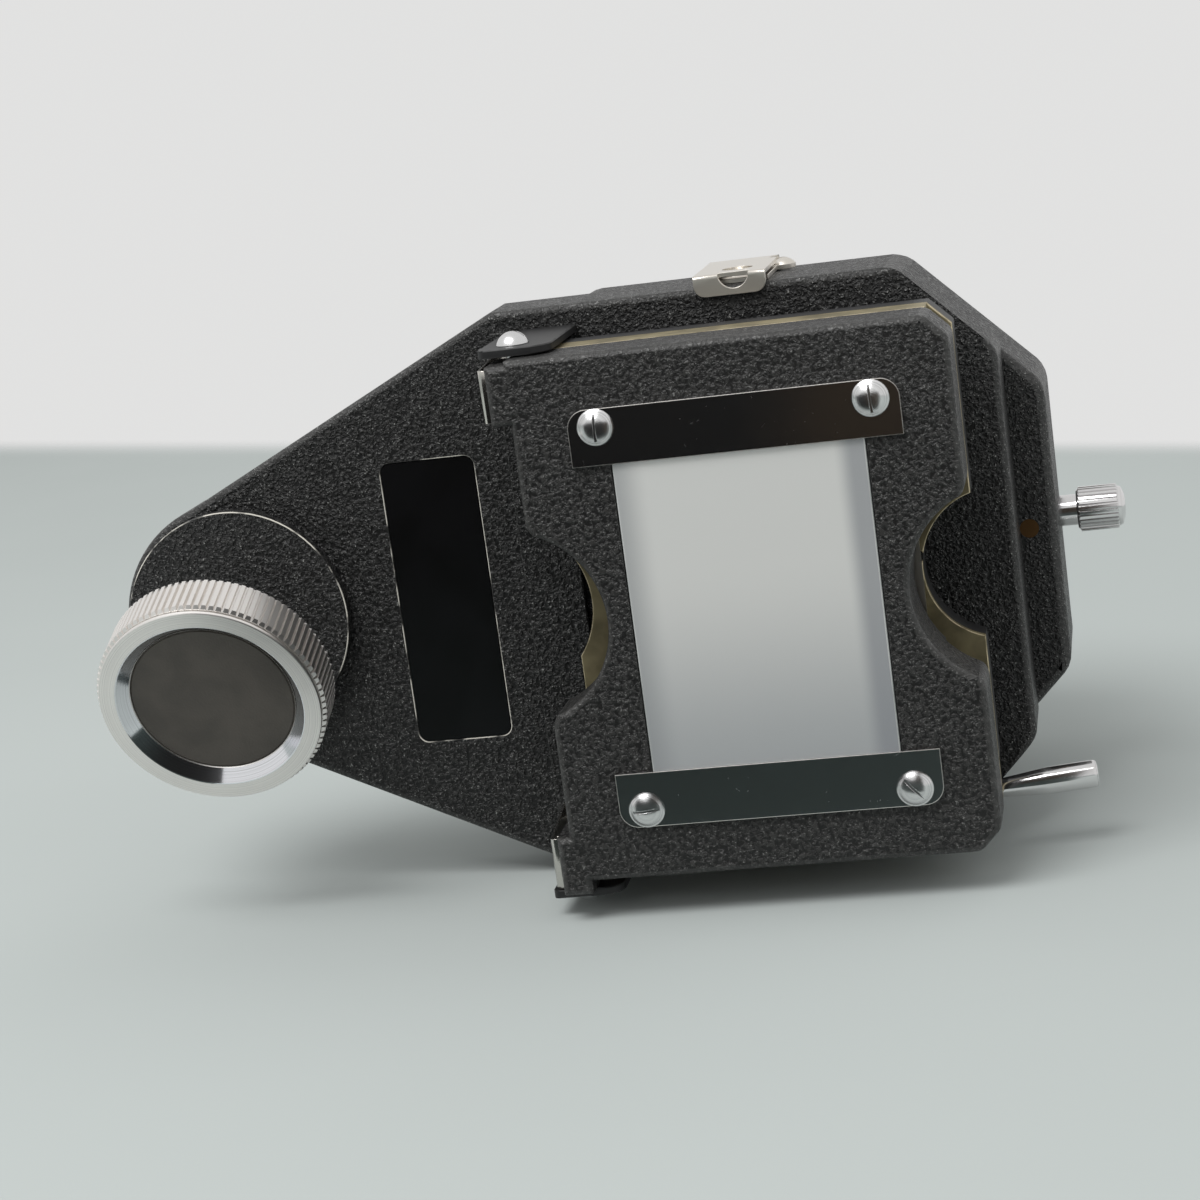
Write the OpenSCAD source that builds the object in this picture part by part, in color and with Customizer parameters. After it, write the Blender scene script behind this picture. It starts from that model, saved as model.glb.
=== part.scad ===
// Slide duplicator: a lit slide stage with a hinged opal door, a shift frame behind it,
// and a bellows with a threaded lens ring. A drooping clamp knob fixes it to a rail.
// X is to the right, Z is up, and the front faces -Y. The optical axis is the line
// X = 0, Z = 0, and the rear face of the lens ring stands at Y = 0. Millimetres.

/* [Picture and slide] */
// Width of the picture opening in the gate
image_w = 26; // [24:0.5:27]
// Height of the picture opening in the gate
image_h = 38; // [36:0.5:39]
// Depth of the room for a mounted slide in front of the tray
slide_room = 3.5; // [3:0.25:5]

/* [Door] */
// Width of the door from its free edge to the optical axis
door_right = 25.8; // [25:0.2:27]
// Distance of the door's hinged edge from the optical axis
door_left = 26.4; // [25.8:0.2:27]
// Height of the door
door_h = 64.4; // [63.6:0.4:64.8]
// Thickness of the door
door_t = 8; // [7:0.5:9]
// Radius of each finger notch
notch_r = 11.9; // [10.5:0.2:12.5]
// Distance of the finger notches' centres from the optical axis
notch_x = 30; // [29.4:0.2:31]
// Size of the cut corners on the door's free edge
door_cut = 2.7; // [1.5:0.3:3.5]
// Gap between the closed door and the tray's rim
door_gap = 1; // [0.8:0.1:2]
// Width of the opal glass
glass_w = 30; // [29:0.5:31]
// Height of the opal glass
glass_h = 43; // [42:0.5:44]
// Thickness of the opal glass
glass_t = 3; // [2:0.5:4]
// Height of each bright strip that holds the glass
strip_h = 6.8; // [6.2:0.2:7.4]
// Length of the bright strips
strip_l = 39.2; // [38:0.4:40.4]
// Thickness of the bright strips
strip_t = 0.5; // [0.4:0.1:1]
// Lit height of the window between the strips
window_h = 37.7; // [37:0.1:38.4]
// Radius of the strip screws' domed heads
strip_head_r = 2.2; // [1.8:0.1:2.5]
// Radius of the strip screws' threads
strip_screw_r = 1; // [0.8:0.1:1.2]

/* [Hinge] */
// How far the hinge axis lies in front of the door's rear face
hinge_inset = 1; // [1:0.1:1.6]
// Radius of the hinge pivot screws
pivot_r = 0.9; // [0.6:0.1:0.95]
// Radius of the hinge pivot screws' heads
pivot_head_r = 2; // [1.6:0.1:2.4]
// Thickness of the hinge bracket's sheet
bracket_t = 1; // [0.8:0.1:1.4]
// Height of each detent spring
spring_h = 6.4; // [5:0.2:7]
// Thickness of the detent springs
spring_t = 0.4; // [0.3:0.05:0.5]
// Radius of the detent springs' rolled ends
curl_r = 0.75; // [0.6:0.05:0.8]

/* [Tray and gate] */
// Thickness of the brass tray's sheet
tray_t = 1; // [0.8:0.1:1.4]
// Height of the brass tray over its rims
tray_h = 64.2; // [63.6:0.2:64.4]
// Distance of the tray's right edge from the optical axis
tray_right = 25.5; // [25:0.1:25.8]
// Distance of the tray's left edge from the optical axis
tray_left = 24.4; // [23.8:0.1:24.5]
// Thickness of the gate plate behind the tray
gate_t = 3.5; // [3.2:0.1:4]
// Width of the block between the gate plate and the main plate
block_w = 34; // [33:0.5:35]
// Height of the block between the gate plate and the main plate
block_h = 58; // [54:1:60]
// Thickness of the block between the gate plate and the main plate
block_t = 4.5; // [4:0.25:6]

/* [Lever] */
// Radius of the lever's hub
lever_hub_r = 3.6; // [3.2:0.1:3.8]
// Radius of the lever's pivot pin
lever_pin_r = 1.5; // [1.2:0.1:1.8]
// Length of the lever from its pivot to its tip
lever_l = 17.2; // [15:0.2:19]
// Radius of the lever's thick end
lever_r = 1.7; // [1.4:0.1:2]
// Radius of the lever's thin end
lever_neck_r = 1; // [0.8:0.1:1.1]
// Angle that the lever swings up, in degrees
lever_swing = 25; // [15:1:28]

/* [Main plate] */
// Thickness of the main plate
plate_t = 10; // [9:0.5:12]
// Height of the main plate
plate_h = 71.8; // [71:0.2:73]
// Distance of the main plate's right edge from the optical axis
plate_right = 30; // [29.6:0.2:30]
// Size of the main plate's cut right corners
plate_cut = 11.3; // [9:0.1:12]
// Distance of the main plate's left corners from the optical axis
plate_left = 32; // [32:0.5:34]
// Distance of the clamp knob's centre from the optical axis
knob_x = 70.2; // [68:0.2:74]
// Radius of the main plate's round end
end_r = 15.7; // [15:0.1:16.5]
// Radius of the boss under the clamp knob
boss_r = 14.7; // [12:0.1:14.9]
// Height of the boss over the main plate's face
boss_h = 2; // [1.5:0.1:3]
// Thickness of the boss's wall, which the clamp screw goes through
boss_wall = 4; // [3.6:0.1:4]
// Radius of the socket for the rail's end behind the boss
socket_r = 7.5; // [7.4:0.1:9]
// Width of the bare nameplate
plaque_w = 12.1; // [10:0.1:13]
// Height of the bare nameplate
plaque_h = 36.6; // [34:0.2:40]
// Thickness of the nameplate
plaque_t = 0.5; // [0.4:0.1:1]

/* [Clamp knob] */
// Angle that the clamp knob droops at rest, in degrees
droop = 21; // [10:0.5:21]
// Outer radius of the knob's milled edge
knob_r = 14.6; // [13.6:0.1:14.8]
// Number of teeth in the knob's milled edge
knob_teeth = 96; // [60:2:120]
// Thickness of the knob
knob_t = 7.6; // [7:0.1:9]
// Distance of the knob's rear face from its pivot, along its axis
knob_reach = 11.7; // [11:0.1:13]
// Radius of the dark disc in the knob's face
disc_r = 10.5; // [9:0.1:11]
// Radius of the clamp screw's thread
clamp_thread_r = 3; // [2.5:0.1:3]
// Radius of the clamp screw's shank
clamp_shank_r = 1.8; // [1.5:0.1:1.9]
// Radius of the loose hole in the boss
clamp_hole_r = 2.75; // [2.75:0.05:3]

/* [Housing] */
// Depth of the octagonal housing
housing_d = 15.5; // [15:0.5:20]
// Height of the housing
housing_h = 69.8; // [69:0.2:71.4]
// Distance of the housing's right side from the optical axis
housing_right = 34.8; // [34.6:0.1:36]
// Distance of the housing's left side from the optical axis
housing_left = 40.1; // [36:0.1:42]
// Size of the housing's cut corners
housing_cut = 16.6; // [15:0.1:17]
// Wall of the housing
housing_wall = 3; // [2.4:0.1:3]
// Thickness of the rear cover
cover_t = 1.5; // [1.2:0.1:2]
// Radius of the side clips' sheet-metal screws
clip_screw_r = 0.9; // [0.7:0.1:1.1]
// Width of the side clips
clip_w = 9; // [8:0.2:10]
// Thickness of the side clips' sheet
clip_t = 0.6; // [0.5:0.05:0.7]

/* [Shift frame and lock] */
// Thickness of the shift frame
frame_t = 3; // [2.6:0.1:3.4]
// How far the shift frame's rear face lies inside the housing
frame_set = 4.5; // [4.2:0.1:5]
// Half width of the shift frame
frame_half_w = 29; // [28.8:0.1:29.1]
// Half height of the shift frame
frame_half_h = 27; // [26:0.25:27.5]
// Travel of the shift frame, up or down from the middle
shift_travel = 4; // [2:0.25:4]
// Radius of the thumb screw's shaft
thumb_r = 2; // [1.7:0.1:2.2]
// Radius of the thumb screw's milled head
thumb_head_r = 2.9; // [2.6:0.1:3.6]
// Length of the thumb screw's milled head
thumb_head_l = 5.2; // [4:0.1:7]
// Length of the thumb screw's shaft that shows outside the housing
thumb_show = 2.3; // [1.6:0.1:4]
// Radius of the bronze friction pin
brake_r = 1.2; // [1:0.05:1.3]

/* [Bellows and lens ring] */
// Number of pleats in the bellows
pleats = 6; // [4:1:8]
// Half width and half height of the bellows over its ridges
bellows_half = 26.4; // [25.8:0.1:26.6]
// Depth of each pleat
pleat_h = 3; // [2:0.1:3]
// Distance between the housing and the lens ring at rest
ring_gap = 15; // [13:0.5:24]
// Length of the lens ring
ring_l = 8; // [7:0.5:10]
// Outer radius of the lens ring
ring_r = 30; // [29.2:0.2:31]
// Radius of the thread that screws into the lens
thread_r = 27.5; // [26.5:0.5:28.5]
// Length of the thread that screws into the lens
thread_l = 3; // [2:0.5:3.5]
// Radius of the lens ring's bore
ring_bore_r = 25; // [24:0.25:25.5]
// Radius of the lens ring's front lip
lip_r = 21.8; // [21.4:0.1:22]

/* [Hidden] */
$fn = 64;

// Small amounts that keep cuts clean and moving pieces free
over = 0.5;
run_fit = 0.05;
screw_fit = 0.02;
part_fit = 0.1;
// How far the main plate's edges run into the circle of its round end
end_lap = 0.15;

// The stack along Y, from the lens ring forward to the door
ring_front = -ring_l;
housing_back = ring_front - ring_gap;
housing_front = housing_back - housing_d;
plate_front = housing_front - plate_t;
gate_back = plate_front - block_t;
gate_front = gate_back - gate_t;
tray_face = gate_front - tray_t;
tray_rim = tray_face - slide_room;
door_back = tray_rim - door_gap;
door_front = door_back - door_t;
strip_front = door_front - strip_t;

// Housing inside
front_wall_back = housing_front + housing_wall;
cover_front = housing_back - cover_t;
frame_back = housing_back - frame_set;
frame_front = frame_back - frame_t;
frame_mid = (frame_back + frame_front) / 2;
ledge = housing_wall / 2;
rail_in = bellows_half + 1.1;
rail_out = housing_right - housing_wall;
rail_half_h = housing_h / 2 - housing_wall - 0.9;
bevel = 2 - sqrt(2);
inside_sum = housing_right + housing_h / 2 - housing_cut - sqrt(2) * housing_wall;
frame_cut = frame_half_w + frame_half_h - (inside_sum - shift_travel - 0.4);

// Hinge
hinge_x = -door_left + 0.1;
hinge_y = door_back - hinge_inset;
lug_upper_x = -door_left - 2.4;
lug_lower_x = -door_left - 1.6;
lug_upper_h = 7.2;
lug_lower_h = 7.4;
lug_top = door_h / 2 - 0.5;
lug_base = -door_h / 2 - 1.7;
lug_upper_z = [lug_top - lug_upper_h, lug_top];
lug_lower_z = [lug_base, lug_base + lug_lower_h];
ear_upper_z = door_h / 2 + 0.2;
ear_lower_z = lug_lower_z[0] - part_fit;
ear_front = hinge_y - 3.8;
ear_x = [-30, -21.2];
ear_corner = 2.4;
ear_edge = 0.8;
strap_x = [-32, -24.6];
strap_front = plate_front - bracket_t;
bracket_screw_x = -26.6;
bracket_screw_z = 16;
bracket_head = [1.7, 0.7];
spring_drop = 1.4;
spring_top = ear_upper_z - spring_drop;
spring_upper_z = [spring_top - spring_h, spring_top];
spring_lower_z = [ear_lower_z + part_fit, ear_lower_z + part_fit + spring_h];
spring_root = [-31.7, strap_front];
curl_y = hinge_y - 2.7;
rivet_x = -28.8;
rivet_r = 0.8;
rivet_head = [1.5, 0.5];
pivot_head_h = 1.6;
pivot_reach = 5;

// Door fittings
strip_screw_x = 16.2;
strip_screw_z = 23.45;
slot_angles = [0, 0, 90, 45];
strip_head_h = 1.1;
pad_half = [21, 29];
pad_t = 1;
pad_rivet = [18, 26];
pad_rivet_head = [1.3, 0.5];
pad_rivet_l = 2;
leaf_x = 17;
leaf_w = 4;
leaf_half = 15;
leaf_t = 0.3;
leaf_rise = slide_room + door_gap - pad_t - 1.9;
leaf_r = (leaf_half * leaf_half + leaf_rise * leaf_rise) / (2 * leaf_rise);

// Screws that reach into the main plate from the front and the rear
hole_d = 5;
screw_bite = 4.5;
front_screw_r = 1;

// Gate and lever
block_screw = [14.9, 24];
block_head = [1.9, 0.9];
tray_rivet = [18, 20];
tray_rivet_r = 0.9;
tray_rivet_l = 2.5;
tray_hole = [18.4, 1.7];
tray_hole_r = 0.8;
bay_right = [28.1, 9.2];
bay_left = [-33.2, 11.1];
lever_x = 20;
lever_z = -29.2;
lever_rise = 2.9;
lever_lean = 5.5;
lever_floor = 0.8;
lever_play = part_fit;
hub_t = gate_t - lever_floor - 2 * lever_play;
lever_axis_y = gate_front + lever_play + hub_t / 2;
lever_taper_end = 11;
lever_mouth_l = 12;

// Nameplate
plaque_x = -42.85;
plaque_corner = 1.2;

// Clamp knob, measured along its axis from the pivot towards the knob's face
pivot_y = plate_front - boss_h + boss_wall / 2;
knob_face = knob_reach + knob_t;
knob_dish = 1.55;
dish_flare = 1.45;
knob_groove = [5, 12.3];
knob_groove_d = 3.3;
disc_t = 1;
disc_back = knob_face - knob_dish - disc_t;
washer_r = 3.9;
washer_t = 0.7;
washer_seat = boss_wall / 2 / cos(21) + washer_r * tan(21) + 0.05;
thread_start = -washer_seat - washer_t;
thread_len = 5.2;
knob_screw_r = 1;
knob_screw_head_r = 2.6;
knob_screw_head_t = 0.9;
knob_screw_l = 4.2;
thread_tip = 0.5;
shank_end = disc_back - part_fit - knob_screw_head_t;

// Lock
pad_in = rail_out - 2.2;
pad_half_z = 5;
slug_r = 1.5;
slug_l = 2;
brake_x = 31.2;
thumb_start = frame_half_w + slug_l;
thumb_neck_end = housing_right + thumb_show;

// Screws of the housing and its cover
housing_screw = [19, 26.5];
housing_screw_r = 1.2;
housing_head = [2, 1.1];
cover_screw = [29.7, 13];
cover_screw_r = 0.9;
cover_head = [1.8, 0.9];
cover_hole_d = 2.5;
cover_bite = 2.4;

// Side clips
clip_x = -5.9;
bush_l = 1;
tab_low = housing_h / 2 + bush_l;
clip_low = max(plate_h / 2, tab_low);
clip_fold = 1.6;
clip_back = housing_front + 6;
clip_foot_front = plate_front + 2.1;
clip_lip = 1.1;
clip_screw_x = -0.9;
clip_screw_y = plate_front + 4.5;
clip_head = [1.75, 0.85];
clip_notch = 0.15;
clip_hole_d = 4;
clip_bite = 3.5;
tab_x = 3.7;
tab_y = housing_front + 4;
tab_r = 1.6;
tab_screw_r = 0.7;
tab_head = [1.5, 0.8];
tab_bite = 2.5;

// Bellows and lens ring
lip_l = 2;
collar_l = 1.5;
bellows_skin = 0.8;
bellows_cut = 10;
bellows_front_y = frame_back;
bellows_len = ring_front - bellows_front_y;
ring_count = 2 * pleats + 3;

// A flat shape in X and Z, carried from y_front back to y_back
module slab(y_front, y_back)
    translate([0, y_back, 0]) rotate([90, 0, 0]) linear_extrude(y_back - y_front) children();

// A round bar along Y, X or Z
module bar_y(x, z, y_front, y_back, r)
    translate([x, y_back, z]) rotate([90, 0, 0]) cylinder(r = r, h = y_back - y_front);
module bar_x(y, z, x0, x1, r)
    translate([x0, y, z]) rotate([0, 90, 0]) cylinder(r = r, h = x1 - x0);
module bar_z(x, y, z0, z1, r)
    translate([x, y, z0]) cylinder(r = r, h = z1 - z0);

// A box given by its two corners
module block(a, b)
    translate(a) cube(b - a);

// Copies at the four corners of a rectangle, and above and below
module corners(p)
    for (sx = [-1, 1], sz = [-1, 1]) translate([sx * p[0], 0, sz * p[1]]) children();
module above_and_below() {
    children();
    mirror([0, 0, 1]) children();
}

// Flat shapes
module round_rect(w, h, r) {
    square([w - 2 * r, h], center = true);
    square([w, h - 2 * r], center = true);
    for (sx = [-1, 1], sy = [-1, 1])
        translate([sx * (w / 2 - r), sy * (h / 2 - r)]) circle(r, $fn = 32);
}
// A rectangle given by its half sizes, with all four corners cut
module cut_rect(half_w, half_h, cut)
    polygon([
        [half_w - cut, half_h], [half_w, half_h - cut], [half_w, cut - half_h],
        [half_w - cut, -half_h], [cut - half_w, -half_h], [-half_w, cut - half_h],
        [-half_w, half_h - cut], [cut - half_w, half_h]
    ]);
module image_2d(extra = 0)
    square([image_w + 2 * extra, image_h + 2 * extra], center = true);

// A domed screw head on the plane z = 0, with a driver slot
module dome_head(r, h, slot_w = 0.45, turn = 0) {
    ball = (r * r + h * h) / (2 * h);
    difference() {
        intersection() {
            translate([0, 0, h - ball]) sphere(ball);
            cylinder(r = r, h = h);
        }
        rotate([0, 0, turn]) translate([-r - over, -slot_w / 2, h / 2])
            cube([2 * r + 2 * over, slot_w, h]);
    }
}
// A screw that faces the front: head is its radius and height, seated at y_seat
module front_screw(x, z, y_seat, y_tip, head, r, turn = 0) {
    translate([x, y_seat, z]) rotate([90, 0, 0]) dome_head(head[0], head[1], turn = turn);
    bar_y(x, z, y_seat, y_tip, r);
}
// A screw that faces the rear
module rear_screw(y_seat, y_tip, head, r) {
    translate([0, y_seat, 0]) rotate([-90, 0, 0]) dome_head(head[0], head[1]);
    bar_y(0, 0, y_tip, y_seat, r);
}

// Outline of the main plate: a body whose edges run into its round end
module plate_2d() {
    half = plate_h / 2;
    reach = norm([knob_x - plate_left, half]);
    tangent = atan2(half, knob_x - plate_left) + acos(end_r / reach);
    tx = -knob_x + (end_r - end_lap) * cos(tangent);
    tz = (end_r - end_lap) * sin(tangent);
    polygon([
        [tx, tz], [-plate_left, half], [plate_right - plate_cut, half],
        [plate_right, half - plate_cut], [plate_right, plate_cut - half],
        [plate_right - plate_cut, -half], [-plate_left, -half], [tx, -tz]
    ]);
    translate([-knob_x, 0]) circle(end_r);
}
// Outline of the housing, drawn in by an even margin
module octagon_2d(margin) {
    l = -housing_left + margin;
    r = housing_right - margin;
    h = housing_h / 2 - margin;
    c = housing_cut - bevel * margin;
    polygon([
        [l + c, h], [r - c, h], [r, h - c], [r, c - h],
        [r - c, -h], [l + c, -h], [l, c - h], [l, h - c]
    ]);
}
// Sides of the door and the tray, with cut corners on the free edge
module leaf_2d(left, right, h, cut)
    polygon([
        [-left, h / 2], [right - cut, h / 2], [right, h / 2 - cut],
        [right, cut - h / 2], [right - cut, -h / 2], [-left, -h / 2]
    ]);

// ---- Fixed stage ----

module main_plate() color("#2b2b2c") {
    difference() {
        union() {
            slab(plate_front, housing_front) plate_2d();
            bar_y(-knob_x, 0, plate_front - boss_h, housing_front - 1, boss_r);
        }
        slab(plate_front - over, housing_front + over) image_2d();
        slab(plate_front - over, plate_front + plaque_t) plaque_place()
            round_rect(plaque_w + 2 * part_fit, plaque_h + 2 * part_fit,
                       plaque_corner + part_fit);
        bar_y(-knob_x, 0, plate_front - boss_h - over, housing_front, clamp_hole_r);
        bar_y(-knob_x, 0, plate_front - boss_h + boss_wall, housing_front + over, socket_r);
        corners(block_screw) bar_y(0, 0, plate_front - over, plate_front + hole_d,
                                   front_screw_r + screw_fit);
        corners(housing_screw) bar_y(0, 0, housing_front - hole_d, housing_front + over,
                                     housing_screw_r + screw_fit);
        for (sz = [-1, 1])
            bar_y(bracket_screw_x, sz * bracket_screw_z, plate_front - over,
                  plate_front + hole_d, front_screw_r + screw_fit);
        above_and_below()
            bar_z(clip_screw_x, clip_screw_y, plate_h / 2 - clip_hole_d, plate_h / 2 + over,
                  clip_screw_r + screw_fit);
    }
}
module plaque_place()
    translate([plaque_x, 0]) children();

module nameplate() color("#101010")
    slab(plate_front, plate_front + plaque_t) plaque_place()
        round_rect(plaque_w, plaque_h, plaque_corner);

module gate_block() color("#1f1f20")
    difference() {
        slab(gate_back, plate_front) difference() {
            square([block_w, block_h], center = true);
            image_2d();
        }
        corners(block_screw) bar_y(0, 0, gate_back - over, plate_front + over,
                                   front_screw_r + screw_fit);
    }

// The plate behind the tray, with a pocket for the lever's hub and a mouth for its swing
module gate_plate() color("#262627")
    difference() {
        slab(gate_front, gate_back) difference() {
            leaf_2d(tray_left, tray_right, tray_h, door_cut);
            image_2d();
            finger_bays_2d();
        }
        corners(block_screw) {
            bar_y(0, 0, gate_front - over, gate_front + block_head[1],
                  block_head[0] + screw_fit);
            bar_y(0, 0, gate_front, gate_back + over, front_screw_r + screw_fit);
        }
        corners(tray_rivet) bar_y(0, 0, gate_front - over, gate_front + tray_rivet_l,
                                  tray_rivet_r + screw_fit);
        ear_room();
        bar_y(lever_x, lever_z, gate_front - over, gate_back - lever_floor, lever_hub_r + 0.3);
        bar_y(lever_x, lever_z, gate_front, gate_back + over, lever_pin_r + screw_fit);
        slab(gate_front - over, gate_back + over) lever_mouth_2d();
    }
// The sweep of the lever's arm beyond its hub
module lever_mouth_2d() {
    near = lever_hub_r - 0.4;
    far = lever_mouth_l;
    low = lever_rise;
    high = lever_rise + lever_swing;
    side = lever_neck_r + 0.45;
    translate([lever_x, lever_z]) polygon([
        [near * cos(low) + side * sin(low), near * sin(low) - side * cos(low)],
        [far * cos(low) + side * sin(low), far * sin(low) - 1.3 * side * cos(low)],
        [far * cos(high) - side * sin(high), far * sin(high) + 1.3 * side * cos(high)],
        [near * cos(high) - side * sin(high), near * sin(high) + side * cos(high)]
    ]);
}
// The finger bays of the tray and the gate plate
module finger_bays_2d()
    for (bay = [bay_right, bay_left]) translate([bay[0], 0]) circle(bay[1]);
// What the hinge's ears pass through, above and below
module ear_room() {
    out = plate_h;
    block([ear_x[0], tray_rim - over, ear_upper_z - part_fit],
          [ear_x[1] + part_fit, gate_back + over, ear_upper_z + out]);
    block([ear_x[0], tray_rim - over, ear_lower_z - out],
          [ear_x[1] + part_fit, gate_back + over, ear_lower_z + part_fit]);
}

module gate_screws() color("#8f8f8c")
    corners(block_screw) {
        bar_y(0, 0, gate_front + part_fit, gate_front + block_head[1], block_head[0]);
        bar_y(0, 0, gate_front + part_fit, plate_front + screw_bite, front_screw_r);
    }

// The brass tray: a face behind the slide and a rim above and below it
module slide_tray() color("#7d7152")
    difference() {
        union() {
            slab(tray_face, gate_front) leaf_2d(tray_left, tray_right, tray_h, door_cut);
            above_and_below()
                block([-tray_left, tray_rim, tray_h / 2 - tray_t],
                      [tray_right - door_cut, tray_face, tray_h / 2]);
        }
        slab(tray_face - over, gate_front + over) {
            image_2d();
            finger_bays_2d();
        }
        bar_y(tray_hole[0], tray_hole[1], tray_face - over, gate_front + over, tray_hole_r);
        corners(tray_rivet) bar_y(0, 0, tray_face - over, gate_front + over,
                                  tray_rivet_r + screw_fit);
        ear_room();
    }

module tray_rivets() color("#8a7d5c")
    corners(tray_rivet) bar_y(0, 0, tray_face, gate_front + tray_rivet_l, tray_rivet_r);

// ---- Hinge ----

module hinge_bracket() color("#1d1d1e")
    difference() {
        union() {
            block([strap_x[0], strap_front, ear_lower_z - bracket_t],
                  [strap_x[1], plate_front, ear_upper_z + bracket_t]);
            for (z = [ear_upper_z, ear_lower_z - bracket_t]) translate([0, 0, z])
                linear_extrude(bracket_t) ear_2d();
        }
        bar_z(hinge_x, hinge_y, ear_lower_z - 2 * bracket_t, ear_upper_z + 2 * bracket_t,
              pivot_r + run_fit);
        for (sz = [-1, 1]) bar_y(bracket_screw_x, sz * bracket_screw_z,
                                 strap_front - over, plate_front + over,
                                 front_screw_r + screw_fit);
        for (z = [spring_upper_z, spring_lower_z])
            bar_y(rivet_x, (z[0] + z[1]) / 2, strap_front - over, plate_front + over,
                  rivet_r + screw_fit);
    }
// An ear in X and Y, rounded in front
module ear_2d() {
    w = ear_x[1] - ear_x[0];
    translate([ear_x[0], ear_front + ear_corner])
        square([w, plate_front - ear_front - ear_corner]);
    translate([ear_x[0] + ear_edge, ear_front])
        square([w - ear_edge - ear_corner, ear_corner + over]);
    translate([ear_x[0] + ear_edge, ear_front + ear_edge]) circle(ear_edge, $fn = 32);
    translate([ear_x[0], ear_front + ear_edge]) square([w / 2, ear_corner]);
    translate([ear_x[1] - ear_corner, ear_front + ear_corner]) circle(ear_corner, $fn = 32);
}

module bracket_screws() color("#6f6f6c")
    for (sz = [-1, 1])
        front_screw(bracket_screw_x, sz * bracket_screw_z, strap_front,
                    plate_front + screw_bite, bracket_head, front_screw_r, 30);

// A leaf that runs forward beside the hinge and ends in a roll against the door's lug
module detent_spring(z, lug_x) {
    shift = lug_x - lug_upper_x;
    tip = [lug_x - curl_r - part_fit, curl_y];
    root = [spring_root[0] + shift, spring_root[1]];
    translate([0, 0, z[0]]) linear_extrude(z[1] - z[0]) {
        translate(tip) circle(curl_r, $fn = 32);
        polygon([
            [tip[0] - curl_r, tip[1]], [tip[0] - curl_r + spring_t, tip[1]],
            [root[0] + spring_t, root[1]], [root[0], root[1]]
        ]);
        translate([root[0], root[1] - spring_t])
            square([rivet_x + rivet_head[0] + over - root[0], spring_t]);
    }
}
module detent_spring_upper() color("#b9b7ae")
    detent_spring_drilled(spring_upper_z, lug_upper_x);
module detent_spring_lower() color("#b9b7ae")
    detent_spring_drilled(spring_lower_z, lug_lower_x);
module detent_spring_drilled(z, lug_x)
    difference() {
        detent_spring(z, lug_x);
        bar_y(rivet_x, (z[0] + z[1]) / 2, strap_front - spring_t - over, strap_front + over,
              rivet_r + screw_fit);
    }

module spring_rivets() color("#a9a79f")
    for (z = [spring_upper_z, spring_lower_z]) {
        middle = (z[0] + z[1]) / 2;
        bar_y(rivet_x, middle, strap_front - spring_t - rivet_head[1], strap_front - spring_t,
              rivet_head[0]);
        bar_y(rivet_x, middle, strap_front - spring_t, plate_front, rivet_r);
    }

// ---- Door ----

module door_2d()
    difference() {
        leaf_2d(door_left, door_right, door_h, door_cut);
        for (side = [-1, 1]) translate([side * notch_x, 0]) circle(notch_r);
    }
// A hinge lug on the door's edge, round about the hinge axis behind
module lug(lug_x, z) {
    half_w = hinge_x - lug_x;
    block([lug_x, door_front, z[0]], [hinge_x + 2, hinge_y, z[1]]);
    intersection() {
        bar_z(hinge_x, hinge_y, z[0], z[1], half_w);
        block([lug_x, hinge_y - over, z[0]], [hinge_x + 2, door_back, z[1]]);
    }
}
module door_frame() color("#2b2b2c")
    difference() {
        union() {
            slab(door_front, door_back) door_2d();
            lug(lug_upper_x, lug_upper_z);
            lug(lug_lower_x, lug_lower_z);
        }
        slab(door_front - over, door_front + glass_t)
            square([glass_w + 2 * part_fit, glass_h + 2 * part_fit], center = true);
        slab(door_front, door_back + over) image_2d(0.4);
        for (sx = [-1, 1], sz = [-1, 1])
            bar_y(sx * strip_screw_x, sz * strip_screw_z, door_front - over,
                  door_front + hole_d, strip_screw_r + screw_fit);
        corners(pad_rivet) bar_y(0, 0, door_back - pad_rivet_l, door_back + over,
                                 rivet_r + screw_fit);
        bar_z(hinge_x, hinge_y, lug_top - pivot_reach, lug_top + 2 * over,
              pivot_r + screw_fit);
        bar_z(hinge_x, hinge_y, lug_base - over, lug_base + pivot_reach,
              pivot_r + screw_fit);
    }

module opal_glass() color("#c9cdcb")
    slab(door_front, door_front + glass_t) square([glass_w, glass_h], center = true);

// A bright strip over the glass, its outer corners rounded
module glass_strip() {
    outer = window_h / 2 + strip_h;
    r = 2.3;
    half_l = strip_l / 2;
    difference() {
        slab(strip_front, door_front) {
            translate([-half_l, window_h / 2]) square([strip_l, strip_h - r]);
            translate([-half_l + r, window_h / 2]) square([strip_l - 2 * r, strip_h]);
            for (sx = [-1, 1]) translate([sx * (half_l - r), outer - r]) circle(r, $fn = 32);
        }
        for (sx = [-1, 1])
            bar_y(sx * strip_screw_x, strip_screw_z, strip_front - over, door_front + over,
                  strip_screw_r + screw_fit);
    }
}
module glass_strip_upper() color("#d8d8d6") glass_strip();
module glass_strip_lower() color("#d8d8d6") mirror([0, 0, 1]) glass_strip();

module strip_screws() color("#c6c6c4") {
    places = [[-1, 1], [1, 1], [-1, -1], [1, -1]];
    for (i = [0:3])
        front_screw(places[i][0] * strip_screw_x, places[i][1] * strip_screw_z, strip_front,
                    door_front + hole_d, [strip_head_r, strip_head_h], strip_screw_r,
                    90 - slot_angles[i]);
}

module pressure_frame() color("#1b1b1c")
    difference() {
        slab(door_back, door_back + pad_t) difference() {
            square([2 * pad_half[0], 2 * pad_half[1]], center = true);
            image_2d(0.4);
            for (side = [-1, 1]) translate([side * notch_x, 0]) circle(notch_r);
        }
        corners(pad_rivet) bar_y(0, 0, door_back - over, door_back + pad_t + over,
                                 rivet_r + screw_fit);
    }

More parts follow.
